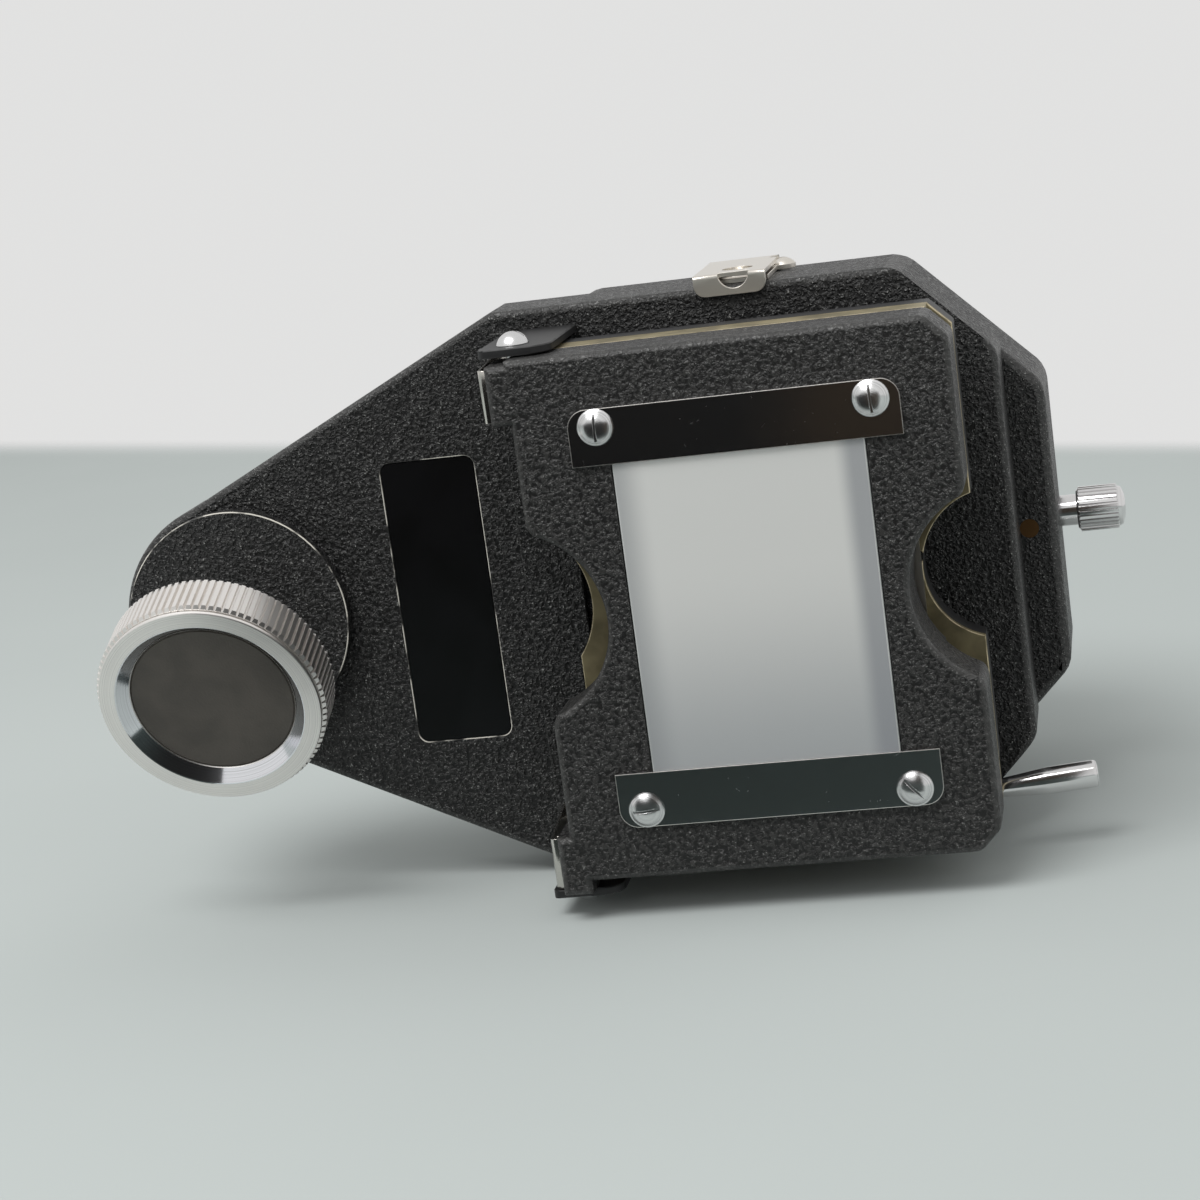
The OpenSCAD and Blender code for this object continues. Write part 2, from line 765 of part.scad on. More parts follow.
// Bowed leaves that press the slide against the tray
module pressure_springs() color("#a9a79f")
    for (sx = [-1, 1]) translate([sx * leaf_x, 0, 0]) leaf_spring();
module leaf_spring()
    translate([-leaf_w / 2, door_back + pad_t + leaf_rise - leaf_r, 0]) rotate([90, 0, 90])
        linear_extrude(leaf_w) intersection() {
            difference() {
                circle(leaf_r, $fn = 256);
                circle(leaf_r - leaf_t, $fn = 256);
            }
            translate([leaf_r - leaf_rise, -leaf_half]) square([leaf_rise + over,
                                                               2 * leaf_half]);
        }

module pressure_rivets() color("#8f8f8c")
    corners(pad_rivet) {
        bar_y(0, 0, door_back + pad_t, door_back + pad_t + pad_rivet_head[1],
              pad_rivet_head[0]);
        bar_y(0, 0, door_back - pad_rivet_l, door_back + pad_t, rivet_r);
    }

module hinge_pivot_screws() color("#c6c6c4") {
    translate([hinge_x, hinge_y, ear_upper_z + bracket_t])
        dome_head(pivot_head_r, pivot_head_h);
    bar_z(hinge_x, hinge_y, lug_top - pivot_reach + over, ear_upper_z + bracket_t, pivot_r);
    translate([hinge_x, hinge_y, ear_lower_z - bracket_t]) mirror([0, 0, 1])
        dome_head(pivot_head_r, pivot_head_h);
    bar_z(hinge_x, hinge_y, ear_lower_z - bracket_t, lug_base + pivot_reach - over, pivot_r);
}

// ---- Lever ----

module lever_pin() color("#8f8f8c")
    translate([lever_x, 0, lever_z]) {
        bar_y(0, 0, gate_front + lever_play, gate_back, lever_pin_r);
        bar_y(0, 0, gate_back, gate_back + 0.8, 2.4);
    }
module lever() color("#cfcfcd")
    translate([lever_x, lever_axis_y, lever_z]) {
        difference() {
            union() {
                bar_y(0, 0, -hub_t / 2, hub_t / 2, lever_hub_r);
                rotate([0, -lever_rise, lever_lean]) {
                    bar_x(0, 0, 0, lever_hub_r + over, lever_neck_r);
                    translate([lever_hub_r, 0, 0]) rotate([0, 90, 0])
                        cylinder(r1 = lever_neck_r, r2 = lever_r,
                                 h = lever_taper_end - lever_hub_r);
                    bar_x(0, 0, lever_taper_end, lever_l - 0.3, lever_r);
                    translate([lever_l - 0.3, 0, 0]) rotate([0, 90, 0])
                        cylinder(r1 = lever_r, r2 = lever_r - 0.3, h = 0.3);
                }
            }
            bar_y(0, 0, -hub_t, hub_t, lever_pin_r + run_fit);
        }
    }

// ---- Clamp knob ----

module on_knob_axis()
    translate([-knob_x, pivot_y, 0]) rotate([90 + droop, 0, 0]) children();

module boss_washer() color("#9a9a97")
    on_knob_axis() translate([0, 0, washer_seat]) washer();
module captive_washer() color("#9a9a97")
    on_knob_axis() translate([0, 0, thread_start]) washer();
module washer()
    difference() {
        cylinder(r = washer_r, h = washer_t);
        translate([0, 0, -over]) cylinder(r = clamp_shank_r + run_fit, h = washer_t + 2 * over);
    }

module clamp_screw() color("#a7a7a4")
    on_knob_axis() difference() {
        union() {
            translate([0, 0, thread_start - thread_len])
                cylinder(r1 = clamp_thread_r - thread_tip, r2 = clamp_thread_r,
                         h = thread_tip);
            translate([0, 0, thread_start - thread_len + thread_tip])
                cylinder(r = clamp_thread_r, h = thread_len - thread_tip);
            translate([0, 0, thread_start]) cylinder(r = clamp_shank_r,
                                                     h = shank_end - thread_start);
        }
        translate([0, 0, shank_end - knob_screw_l - part_fit])
            cylinder(r = knob_screw_r + screw_fit, h = knob_screw_l + over);
    }

// The milled edge is a toothed prism, cut back by the knob's turned profile
module clamp_knob() color("#d2d2d0")
    on_knob_axis() difference() {
        intersection() {
            translate([0, 0, knob_reach]) linear_extrude(knob_t) teeth_2d();
            translate([0, 0, knob_reach]) knob_turning();
        }
        translate([0, 0, knob_reach - over]) difference() {
            cylinder(r = knob_groove[1], h = knob_groove_d + over);
            translate([0, 0, -over])
                cylinder(r = knob_groove[0], h = knob_groove_d + 3 * over);
        }
        translate([0, 0, knob_reach - over]) cylinder(r = clamp_shank_r + screw_fit,
                                                      h = knob_t);
        translate([0, 0, shank_end])
            cylinder(r = knob_screw_head_r + part_fit, h = knob_screw_head_t + 2 * part_fit);
        translate([0, 0, disc_back]) cylinder(r = disc_r + screw_fit, h = knob_t);
        translate([0, 0, knob_face - knob_dish])
            cylinder(r1 = disc_r + screw_fit, r2 = disc_r + dish_flare, h = knob_dish);
        translate([0, 0, knob_face - screw_fit]) cylinder(r = disc_r + dish_flare, h = over);
    }
module teeth_2d() {
    step = 360 / knob_teeth;
    root_r = knob_r - 0.45;
    polygon([
        for (i = [0:knob_teeth - 1]) each [
            [knob_r * cos((i - 0.22) * step), knob_r * sin((i - 0.22) * step)],
            [knob_r * cos((i + 0.22) * step), knob_r * sin((i + 0.22) * step)],
            [root_r * cos((i + 0.5) * step), root_r * sin((i + 0.5) * step)]
        ]
    ]);
}
module knob_turning()
    rotate_extrude($fn = 96) polygon([
        [0, 0], [knob_r - 0.6, 0], [knob_r + 0.05, 0.4], [knob_r + 0.05, knob_t - 0.9],
        [knob_r - 0.54, knob_t - 0.25], [knob_r - 0.54, knob_t], [0, knob_t]
    ]);

module knob_disc() color("#4a4740")
    on_knob_axis() translate([0, 0, disc_back]) cylinder(r = disc_r, h = disc_t);

module knob_screw() color("#8f8f8c")
    on_knob_axis() {
        translate([0, 0, shank_end]) cylinder(r = knob_screw_head_r, h = knob_screw_head_t);
        translate([0, 0, shank_end - knob_screw_l]) cylinder(r = knob_screw_r,
                                                             h = knob_screw_l);
    }

// ---- Housing ----

module housing() color("#2d2d2e")
    difference() {
        union() {
            difference() {
                slab(housing_front, housing_back) octagon_2d(0);
                slab(front_wall_back, housing_back + over) octagon_2d(housing_wall);
                slab(cover_front, housing_back + over) octagon_2d(ledge);
            }
            block([pad_in, front_wall_back - over, -pad_half_z],
                  [housing_right - over, cover_front, pad_half_z]);
        }
        slab(housing_front - over, front_wall_back + over) image_2d(2);
        corners(housing_screw) bar_y(0, 0, housing_front - over, front_wall_back + over,
                                     housing_screw_r + screw_fit);
        bar_x(frame_mid, 0, pad_in - over, housing_right + over, thumb_r + run_fit);
        bar_y(brake_x, 0, housing_front - over, frame_mid, brake_r + screw_fit);
        above_and_below()
            bar_z(tab_x, tab_y, housing_h / 2 - housing_wall, housing_h / 2 + over,
                  tab_screw_r + screw_fit);
    }

module housing_screws() color("#6f6f6c")
    corners(housing_screw)
        rear_screw(front_wall_back, housing_front - screw_bite, housing_head,
                   housing_screw_r);

// A post with a groove that carries the shift frame's edge
module guide_rail() {
    groove = [frame_front - run_fit, frame_back + run_fit];
    difference() {
        block([rail_in, front_wall_back, -rail_half_h], [rail_out, cover_front, rail_half_h]);
        block([rail_in - over, groove[0], -rail_half_h - over],
              [frame_half_w + part_fit, groove[1], rail_half_h + over]);
        above_and_below() rail_corner();
        for (sz = [-1, 1])
            bar_y(cover_screw[0], sz * cover_screw[1], cover_front - cover_hole_d,
                  cover_front + over, cover_screw_r + screw_fit);
    }
}
// The housing's cut corner takes the rail's outer corner with it
module rail_corner()
    slab(front_wall_back - over, cover_front + over) difference() {
        translate([rail_in - over, 0])
            square([rail_out - rail_in + 2 * over, rail_half_h + over]);
        octagon_2d(housing_wall + part_fit);
    }
module guide_rail_left() color("#3a3a3b") mirror([1, 0, 0]) guide_rail();
module guide_rail_right() color("#3a3a3b")
    difference() {
        guide_rail();
        block([pad_in - run_fit, front_wall_back - over, -pad_half_z - part_fit],
              [rail_out + over, cover_front + over, pad_half_z + part_fit]);
        bar_x(frame_mid, 0, rail_in, rail_out, slug_r + run_fit);
    }

module rear_cover() color("#262627")
    difference() {
        slab(cover_front, housing_back) difference() {
            octagon_2d(ledge + part_fit);
            cover_window_2d();
        }
        corners(cover_screw) bar_y(0, 0, cover_front - over, housing_back + over,
                                   cover_screw_r + screw_fit);
    }
// The way through the cover follows the bellows over its whole shift
module cover_window_2d()
    cut_rect(bellows_half + 0.4, bellows_half + shift_travel + 0.4, bellows_cut);
module cover_screws() color("#8f8f8c")
    corners(cover_screw)
        rear_screw(housing_back, cover_front - cover_bite, cover_head, cover_screw_r);

module friction_pin() color("#8a5a33")
    bar_y(brake_x, 0, housing_front, frame_mid - thumb_r - run_fit, brake_r);

// A folded spring clip: a flap over the plate's edge, a top leaf and a screwed foot
module side_clip() {
    top = clip_low + clip_fold;
    difference() {
        union() {
            block([clip_x, plate_front - clip_t, plate_h / 2 - clip_lip],
                  [clip_x + clip_w, plate_front, top]);
            block([clip_x, plate_front - clip_t, top - clip_t],
                  [clip_x + clip_w, clip_back, top]);
            block([clip_x, clip_back - clip_t, clip_low], [clip_x + clip_w, clip_back, top]);
            block([clip_x, clip_foot_front, clip_low],
                  [clip_x + clip_w, clip_back, clip_low + clip_t]);
            block([tab_x - tab_r - over, tab_y - tab_r, tab_low],
                  [clip_x + clip_w, tab_y + tab_r, clip_low + clip_t]);
            block([tab_x - tab_r - over, tab_y - tab_r, tab_low],
                  [tab_x, tab_y + tab_r, tab_low + clip_t]);
            bar_z(tab_x, tab_y, tab_low, tab_low + clip_t, tab_r);
        }
        bar_y(clip_screw_x, top, plate_front - 2 * over, plate_front + over,
              clip_head[0] + clip_notch);
        bar_z(clip_screw_x, clip_screw_y, clip_low + clip_fold / 2, top + over,
              clip_head[0] + 2 * part_fit);
        bar_z(clip_screw_x, clip_screw_y, clip_low - over, top, clip_screw_r + screw_fit);
        bar_z(tab_x, tab_y, tab_low - over, top + over, tab_screw_r + screw_fit);
        bar_z(tab_x, tab_y, tab_low + clip_t, top + over, tab_head[0] + part_fit);
    }
}
module side_clip_upper() color("#c4c0b4") side_clip();
module side_clip_lower() color("#c4c0b4") mirror([0, 0, 1]) side_clip();
module clip_screws() color("#c9c7bf")
    above_and_below() {
        translate([clip_screw_x, clip_screw_y, clip_low + clip_t])
            dome_head(clip_head[0], clip_head[1], turn = 80);
        bar_z(clip_screw_x, clip_screw_y, plate_h / 2 - clip_bite, clip_low + clip_t,
              clip_screw_r);
    }
module clip_bushes() color("#a9a79f")
    above_and_below() difference() {
        bar_z(tab_x, tab_y, housing_h / 2, tab_low, tab_r);
        bar_z(tab_x, tab_y, housing_h / 2 - over, tab_low + over, tab_screw_r + screw_fit);
    }
module clip_tab_screws() color("#c9c7bf")
    above_and_below() {
        translate([tab_x, tab_y, tab_low + clip_t])
            dome_head(tab_head[0], tab_head[1], turn = 20);
        bar_z(tab_x, tab_y, housing_h / 2 - tab_bite, tab_low + clip_t, tab_screw_r);
    }

// ---- Shift frame, lock, bellows and lens ring ----

module shift_frame() color("#303031")
    slab(frame_front, frame_back) difference() {
        cut_rect(frame_half_w, frame_half_h, frame_cut);
        image_2d(3);
    }

module lock_slug() color("#8a7d5c")
    bar_x(frame_mid, 0, frame_half_w, thumb_start, slug_r);

module thumb_screw() color("#cfcfcd")
    translate([0, frame_mid, 0]) {
        bar_x(0, 0, thumb_start, thumb_neck_end, thumb_r);
        translate([thumb_neck_end, 0, 0]) rotate([0, 90, 0]) intersection() {
            linear_extrude(thumb_head_l + 1) thumb_teeth_2d();
            rotate_extrude() thumb_turning();
        }
    }
module thumb_turning()
    polygon([
        [0, 0], [thumb_head_r - 0.3, 0], [thumb_head_r, 0.3],
        [thumb_head_r, thumb_head_l], [thumb_head_r - 0.5, thumb_head_l + 0.55],
        [thumb_head_r - 1.4, thumb_head_l + 0.85], [0, thumb_head_l + 0.95]
    ]);
module thumb_teeth_2d() {
    count = 28;
    step = 360 / count;
    polygon([
        for (i = [0:count - 1]) each [
            [thumb_head_r * cos((i - 0.2) * step), thumb_head_r * sin((i - 0.2) * step)],
            [thumb_head_r * cos((i + 0.2) * step), thumb_head_r * sin((i + 0.2) * step)],
            [(thumb_head_r - 0.3) * cos((i + 0.5) * step),
             (thumb_head_r - 0.3) * sin((i + 0.5) * step)]
        ]
    ]);
}

// One ring of the bellows: a square with cut corners, seen along Y
function bellows_ring(half, cut, y) = [
    [half - cut, y, half], [half, y, half - cut], [half, y, cut - half],
    [half - cut, y, -half], [cut - half, y, -half], [-half, y, cut - half],
    [-half, y, half - cut], [cut - half, y, half]
];
// Rings stand at both ends of each collar, and at each valley and ridge between
function ring_y(i) =
    i == 0 ? bellows_front_y
    : i == ring_count - 1 ? ring_front
    : bellows_front_y + collar_l
      + (i - 1) * (bellows_len - 2 * collar_l) / (ring_count - 3);
function ring_half(i) =
    bellows_half - ((i > 0 && i < ring_count - 1 && i % 2 == 0) ? 0 : pleat_h);
module bellows() color("#19191a") {
    outer = [for (i = [0:ring_count - 1]) each bellows_ring(ring_half(i), bellows_cut,
                                                            ring_y(i))];
    inner = [for (i = [0:ring_count - 1]) each bellows_ring(ring_half(i) - bellows_skin,
                                                            bellows_cut - 0.4, ring_y(i))];
    n = len(outer);
    last = 8 * (ring_count - 1);
    skin = [for (i = [0:ring_count - 2], j = [0:7]) each let (
        a = 8 * i + j, b = 8 * i + (j + 1) % 8, c = a + 8, d = b + 8
    ) [[a, b, c], [b, d, c], [n + a, n + c, n + b], [n + b, n + c, n + d]]];
    ends = [for (j = [0:7]) each let (k = (j + 1) % 8) [
        [j, n + j, k], [k, n + j, n + k],
        [last + j, last + k, n + last + j], [last + k, n + last + k, n + last + j]
    ]];
    polyhedron(concat(outer, inner), concat(skin, ends));
}

module lens_ring() color("#1f1f20")
    rotate([90, 0, 0]) difference() {
        union() {
            cylinder(r = thread_r, h = thread_l + over, $fn = 96);
            translate([0, 0, thread_l]) cylinder(r = ring_r, h = ring_l - thread_l, $fn = 96);
        }
        translate([0, 0, -over]) cylinder(r = ring_bore_r, h = ring_l - lip_l + over, $fn = 96);
        cylinder(r = lip_r, h = ring_l + over, $fn = 96);
    }

main_plate();
nameplate();
gate_block();
gate_plate();
gate_screws();
slide_tray();
tray_rivets();
hinge_bracket();
bracket_screws();
detent_spring_upper();
detent_spring_lower();
spring_rivets();
housing();
housing_screws();
guide_rail_left();
guide_rail_right();
rear_cover();
cover_screws();
friction_pin();
side_clip_upper();
side_clip_lower();
clip_screws();
clip_bushes();
clip_tab_screws();
lever_pin();
lever();
door_frame();
opal_glass();
glass_strip_upper();
glass_strip_lower();
strip_screws();
pressure_frame();
pressure_springs();
pressure_rivets();
hinge_pivot_screws();
boss_washer();
captive_washer();
clamp_screw();
clamp_knob();
knob_disc();
knob_screw();
shift_frame();
bellows();
lens_ring();
lock_slug();
thumb_screw();
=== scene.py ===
# %% [markdown]
# # A slide duplicator
#
# This lesson dresses a small photographic tool: a lit stage for mounted slides, with a
# hinged door of opal glass, a sliding frame and bellows behind it, and a milled clamp knob
# on a long arm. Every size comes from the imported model. We only add what a plain solid
# lacks, which is rounded edges, slots, milling, folds and finishes.

import math

import bmesh
import bpy
from mathutils import Matrix, Vector
from mathutils.geometry import delaunay_2d_cdt, intersect_point_tri_2d
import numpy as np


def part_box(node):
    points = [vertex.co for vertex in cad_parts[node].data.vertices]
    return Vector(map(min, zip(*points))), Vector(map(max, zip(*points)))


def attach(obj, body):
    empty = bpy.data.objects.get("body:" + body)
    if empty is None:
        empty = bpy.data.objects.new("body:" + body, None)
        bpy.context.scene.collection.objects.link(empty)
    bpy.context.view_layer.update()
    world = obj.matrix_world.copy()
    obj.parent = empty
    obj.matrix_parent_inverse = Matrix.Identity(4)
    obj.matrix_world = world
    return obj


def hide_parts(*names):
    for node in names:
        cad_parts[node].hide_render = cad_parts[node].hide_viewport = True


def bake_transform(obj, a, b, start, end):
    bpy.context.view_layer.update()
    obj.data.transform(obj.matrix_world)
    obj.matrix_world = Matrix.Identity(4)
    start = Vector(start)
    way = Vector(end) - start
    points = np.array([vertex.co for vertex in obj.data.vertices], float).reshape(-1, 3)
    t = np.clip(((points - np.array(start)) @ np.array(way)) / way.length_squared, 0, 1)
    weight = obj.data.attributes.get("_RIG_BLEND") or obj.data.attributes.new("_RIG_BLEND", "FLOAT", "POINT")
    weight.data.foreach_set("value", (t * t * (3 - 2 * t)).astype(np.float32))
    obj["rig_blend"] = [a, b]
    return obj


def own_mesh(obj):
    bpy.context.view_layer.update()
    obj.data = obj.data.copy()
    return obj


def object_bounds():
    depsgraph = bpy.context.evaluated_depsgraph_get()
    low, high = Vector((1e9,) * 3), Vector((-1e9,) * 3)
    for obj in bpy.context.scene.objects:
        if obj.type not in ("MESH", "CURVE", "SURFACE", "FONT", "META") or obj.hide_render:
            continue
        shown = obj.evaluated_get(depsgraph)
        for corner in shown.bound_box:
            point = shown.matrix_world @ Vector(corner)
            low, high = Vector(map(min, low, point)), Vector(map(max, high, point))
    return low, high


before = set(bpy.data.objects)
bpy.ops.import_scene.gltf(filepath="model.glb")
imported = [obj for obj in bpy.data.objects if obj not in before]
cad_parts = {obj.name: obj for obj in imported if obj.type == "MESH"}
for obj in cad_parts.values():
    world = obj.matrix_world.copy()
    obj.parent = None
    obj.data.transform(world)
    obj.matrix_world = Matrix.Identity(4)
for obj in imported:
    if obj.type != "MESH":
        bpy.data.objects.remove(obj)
cad_box = [list(corner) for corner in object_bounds()]
node_box = {name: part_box(name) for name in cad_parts}
MM = 0.001
print("nodes in the model:", len(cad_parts))

# %% [markdown]
# ## The camera
#
# The view of a photograph is a place, an aim, a roll and a lens. These were found by
# matching the corners of the door and the plate, so they are set as plain numbers.

# %% Make the camera
CAMERA_PLACE = Vector((47.57, -395.76, 71.52)) * MM
CAMERA_AIM = Vector((-20.57, -60.0, 0.59)) * MM
CAMERA_ROLL = math.radians(-7.79)
LENS_MM, SENSOR_MM = 85.573, 36.0

camera_data = bpy.data.cameras.new("camera")
camera_data.lens = LENS_MM
camera_data.sensor_width = SENSOR_MM
camera_data.clip_start = 0.01
camera = bpy.data.objects.new("camera", camera_data)
camera.location = CAMERA_PLACE
level = (CAMERA_AIM - CAMERA_PLACE).to_track_quat("-Z", "Y").to_matrix()
camera_turn = level @ Matrix.Rotation(CAMERA_ROLL, 3, "Z")
camera.rotation_euler = camera_turn.to_euler()
bpy.context.scene.collection.objects.link(camera)
bpy.context.scene.camera = camera
print("camera", round((CAMERA_AIM - CAMERA_PLACE).length / MM), "mm from its aim")

# %% [markdown]
# ## Small helpers for shader trees
#
# A shader tree is a drawing of boxes and lines. Three short helpers keep that drawing
# readable as text: one places a box, one sets or joins its sockets, and one does both.

# %% Helpers for node trees
def place(tree, kind, **settings):
    node = tree.nodes.new(kind)
    for key, value in settings.items():
        setattr(node, key, value)
    return node


def feed(tree, node, **sockets):
    """Sets each named input to a value, or joins it to another node's output."""
    for key, value in sockets.items():
        name = key.replace("_", " ")
        target = node.inputs[int(key[1:]) if key[0] == "i" and key[1:].isdigit() else name]
        if isinstance(value, bpy.types.NodeSocket):
            tree.links.new(value, target)
        else:
            target.default_value = value
    return node


def put(tree, kind, **sockets):
    return feed(tree, place(tree, kind), **sockets)


def maths(tree, operation, a, b=0.0, c=0.0, clamp=False):
    node = place(tree, "ShaderNodeMath", operation=operation, use_clamp=clamp)
    return feed(tree, node, i0=a, i1=b, i2=c).outputs[0]


def blend_colour(tree, amount, a, b):
    node = place(tree, "ShaderNodeMix", data_type="RGBA")
    return feed(tree, node, i0=amount, i6=a, i7=b).outputs[2]


def ramp(tree, value, low, high):
    """A smooth step from 0 at low to 1 at high."""
    node = place(tree, "ShaderNodeMapRange", interpolation_type="SMOOTHSTEP")
    return feed(tree, node, i0=value, i1=low, i2=high, i3=0.0, i4=1.0).outputs[0]


def noise(tree, vector, scale, detail=2.0, distortion=0.0, roughness=0.5):
    return put(tree, "ShaderNodeTexNoise", Vector=vector, Scale=scale, Detail=detail,
               Distortion=distortion, Roughness=roughness).outputs[0]


def new_group(name, inputs, outputs):
    """An empty shader node group with named sockets: (name, kind, default)."""
    tree = bpy.data.node_groups.new(name, "ShaderNodeTree")
    for label, kind, value in inputs:
        socket = tree.interface.new_socket(label, in_out="INPUT", socket_type=kind)
        if value is not None:
            socket.default_value = value
    for label, kind in outputs:
        tree.interface.new_socket(label, in_out="OUTPUT", socket_type=kind)
    return tree, place(tree, "NodeGroupInput"), place(tree, "NodeGroupOutput")


FLOAT, COLOUR, VECTOR = "NodeSocketFloat", "NodeSocketColor", "NodeSocketVector"
print("tree helpers ready")

# %% [markdown]
# ## Finish 1: crinkle paint
#
# The castings wear a stoved wrinkle paint. As it dries it shrinks into worms and pits
# about half a millimetre wide. A displacement would need millions of faces, so a bump map
# does it: a distorted noise gives the worms, and a finer one picks specks on their tops.
# Light and shade are also painted into the colour. The pits are painted much darker as
# shade, and the specks are painted bright as highlights where the worm tops catch the light.
# Along rounded edges the paint flows thin and looks smoother and greyer. The mesh marks
# those faces as an "edge_band" of 1, and a band of 2 marks edges that are worn to bare
# metal.

# %% Crinkle group
crinkle, cr_in, cr_out = new_group(
    "crinkle",
    [("Vector", VECTOR, None), ("Ridge", COLOUR, (0.05, 0.05, 0.05, 1)),
     ("Pit", COLOUR, (0.006, 0.006, 0.006, 1)), ("Scale", FLOAT, 1900.0),
     ("Speck", FLOAT, 0.3)],
    [("Colour", COLOUR), ("Roughness", FLOAT), ("Height", FLOAT)],
)
worms = noise(crinkle, cr_in.outputs["Vector"], cr_in.outputs["Scale"], 2.0, 0.6)
patches = noise(crinkle, cr_in.outputs["Vector"], 60.0, 2.0)
ridge = ramp(crinkle, worms, 0.38, 0.64)
fine_scale = maths(crinkle, "MULTIPLY", cr_in.outputs["Scale"], 2.6)
grains = noise(crinkle, cr_in.outputs["Vector"], fine_scale, 1.0)
# Painted highlight: bright specks on the worm tops. The same mask also raises these grains in the bump.
speck = maths(crinkle, "MULTIPLY", ramp(crinkle, grains, 0.62, 0.72), ridge)
speck = maths(crinkle, "MULTIPLY", speck, cr_in.outputs["Speck"])
band = place(crinkle, "ShaderNodeAttribute", attribute_name="edge_band").outputs["Fac"]
thin = maths(crinkle, "MULTIPLY", band, 0.65, clamp=True)
bare = maths(crinkle, "MULTIPLY", ramp(crinkle, band, 1.4, 1.8),
             ramp(crinkle, noise(crinkle, cr_in.outputs["Vector"], 260.0, 3.0), 0.42, 0.56))
# Painted shade: the pits get a much darker colour than the ridges.
paint = blend_colour(crinkle, ridge, cr_in.outputs["Pit"], cr_in.outputs["Ridge"])
worn = blend_colour(crinkle, maths(crinkle, "MULTIPLY", patches, thin), paint,
                    (0.060, 0.059, 0.057, 1))
with_painted_glints = blend_colour(crinkle, speck, worn, (0.62, 0.62, 0.6, 1))
final = blend_colour(crinkle, bare, with_painted_glints, (0.72, 0.69, 0.62, 1))
height = maths(crinkle, "MULTIPLY_ADD", speck, 0.5, ridge)
height = maths(crinkle, "MULTIPLY", height, maths(crinkle, "SUBTRACT", 1.0, thin))
rough = maths(crinkle, "MULTIPLY_ADD", ridge, -0.14, 0.50)
feed(crinkle, cr_out, Colour=final, Height=height,
     Roughness=maths(crinkle, "MULTIPLY_ADD", bare, -0.25, rough))
print("crinkle group:", len(crinkle.nodes), "nodes")

# %% [markdown]
# ## Finish 2: turned and drawn metal
#
# Screws, the knob and the lever are turned on a lathe, which leaves fine rings. Each
# turned mesh carries its own radius as an attribute, "turn_radius", so one group can draw
# the rings on any of them, whichever way they face. Sheet metal is rolled, and has long
# straight marks instead, from a noise stretched along X.

# %% Turning and drawing groups
turned, tu_in, tu_out = new_group(
    "turned_marks",
    [("Pitch", FLOAT, 9000.0), ("Base Roughness", FLOAT, 0.25)],
    [("Roughness", FLOAT), ("Height", FLOAT), ("Tone", FLOAT)],
)
reach = place(turned, "ShaderNodeAttribute", attribute_name="turn_radius").outputs["Fac"]
rings = place(turned, "ShaderNodeTexNoise", noise_dimensions="1D")
feed(turned, rings, W=reach, Scale=tu_in.outputs["Pitch"], Detail=3.0, Roughness=0.7)
feed(turned, tu_out, Height=rings.outputs[0],
     Tone=ramp(turned, rings.outputs[0], 0.40, 0.72), Roughness=maths(
    turned, "MULTIPLY_ADD", rings.outputs[0], 0.10, tu_in.outputs["Base Roughness"]))

drawn, dr_in, dr_out = new_group(
    "drawn_marks",
    [("Vector", VECTOR, None), ("Base Roughness", FLOAT, 0.1), ("Marks", FLOAT, 0.5)],
    [("Roughness", FLOAT), ("Height", FLOAT), ("Scratch", FLOAT)],
)
stretch = put(drawn, "ShaderNodeMapping", Vector=dr_in.outputs["Vector"],
              Scale=(90.0, 2500.0, 2500.0))
lines = noise(drawn, stretch.outputs[0], 1.0, 2.0)
scuffs = noise(drawn, dr_in.outputs["Vector"], 420.0, 4.0, 2.5, 0.7)
scratch = maths(drawn, "MULTIPLY", ramp(drawn, scuffs, 0.66, 0.72), dr_in.outputs["Marks"])
smears = noise(drawn, dr_in.outputs["Vector"], 70.0, 3.0, 1.0)
rough = maths(drawn, "MULTIPLY_ADD", smears, 0.12, dr_in.outputs["Base Roughness"])
feed(drawn, dr_out, Height=lines, Scratch=scratch,
     Roughness=maths(drawn, "MULTIPLY_ADD", scratch, 0.4, rough))
print("marks groups ready")

# %% [markdown]
# ## The materials
#
# Each material is a short tree of its own: coordinates, one of the groups, a Principled
# shader and a bump. One recipe function keeps the wiring in a single place, and each
# call gives the numbers of one real finish.

# %% Material recipes
def start_material(name, metallic=0.0, coat=0.0, specular=0.5):
    material = bpy.data.materials.new(name)
    material.use_nodes = True
    tree = material.node_tree
    shader = tree.nodes["Principled BSDF"]
    feed(tree, shader, Metallic=metallic, Coat_Weight=coat, Coat_Roughness=0.08,
         Specular_IOR_Level=specular)
    spot = place(tree, "ShaderNodeTexCoord").outputs["Object"]
    return material, tree, shader, spot


def add_bump(tree, shader, height, distance):
    bump = put(tree, "ShaderNodeBump", Height=height, Distance=distance, Strength=1.0)
    feed(tree, shader, Normal=bump.outputs[0])


def place_group(tree, group, **sockets):
    node = place(tree, "ShaderNodeGroup", node_tree=group)
    return feed(tree, node, **sockets)


# The pit grey is painted shade in the valleys. The speck amount sets the painted highlights on the worm tops
# and their grains in the bump.
def crinkle_paint(name, ridge_grey, pit_grey, scale, speck, depth):
    material, tree, shader, spot = start_material(name)
    group = place_group(tree, crinkle, Vector=spot, Ridge=(*ridge_grey, 1),
                        Pit=(*pit_grey, 1), Scale=scale, Speck=speck)
    feed(tree, shader, Base_Color=group.outputs["Colour"],
         Roughness=group.outputs["Roughness"])
    add_bump(tree, shader, group.outputs["Height"], depth)
    return material


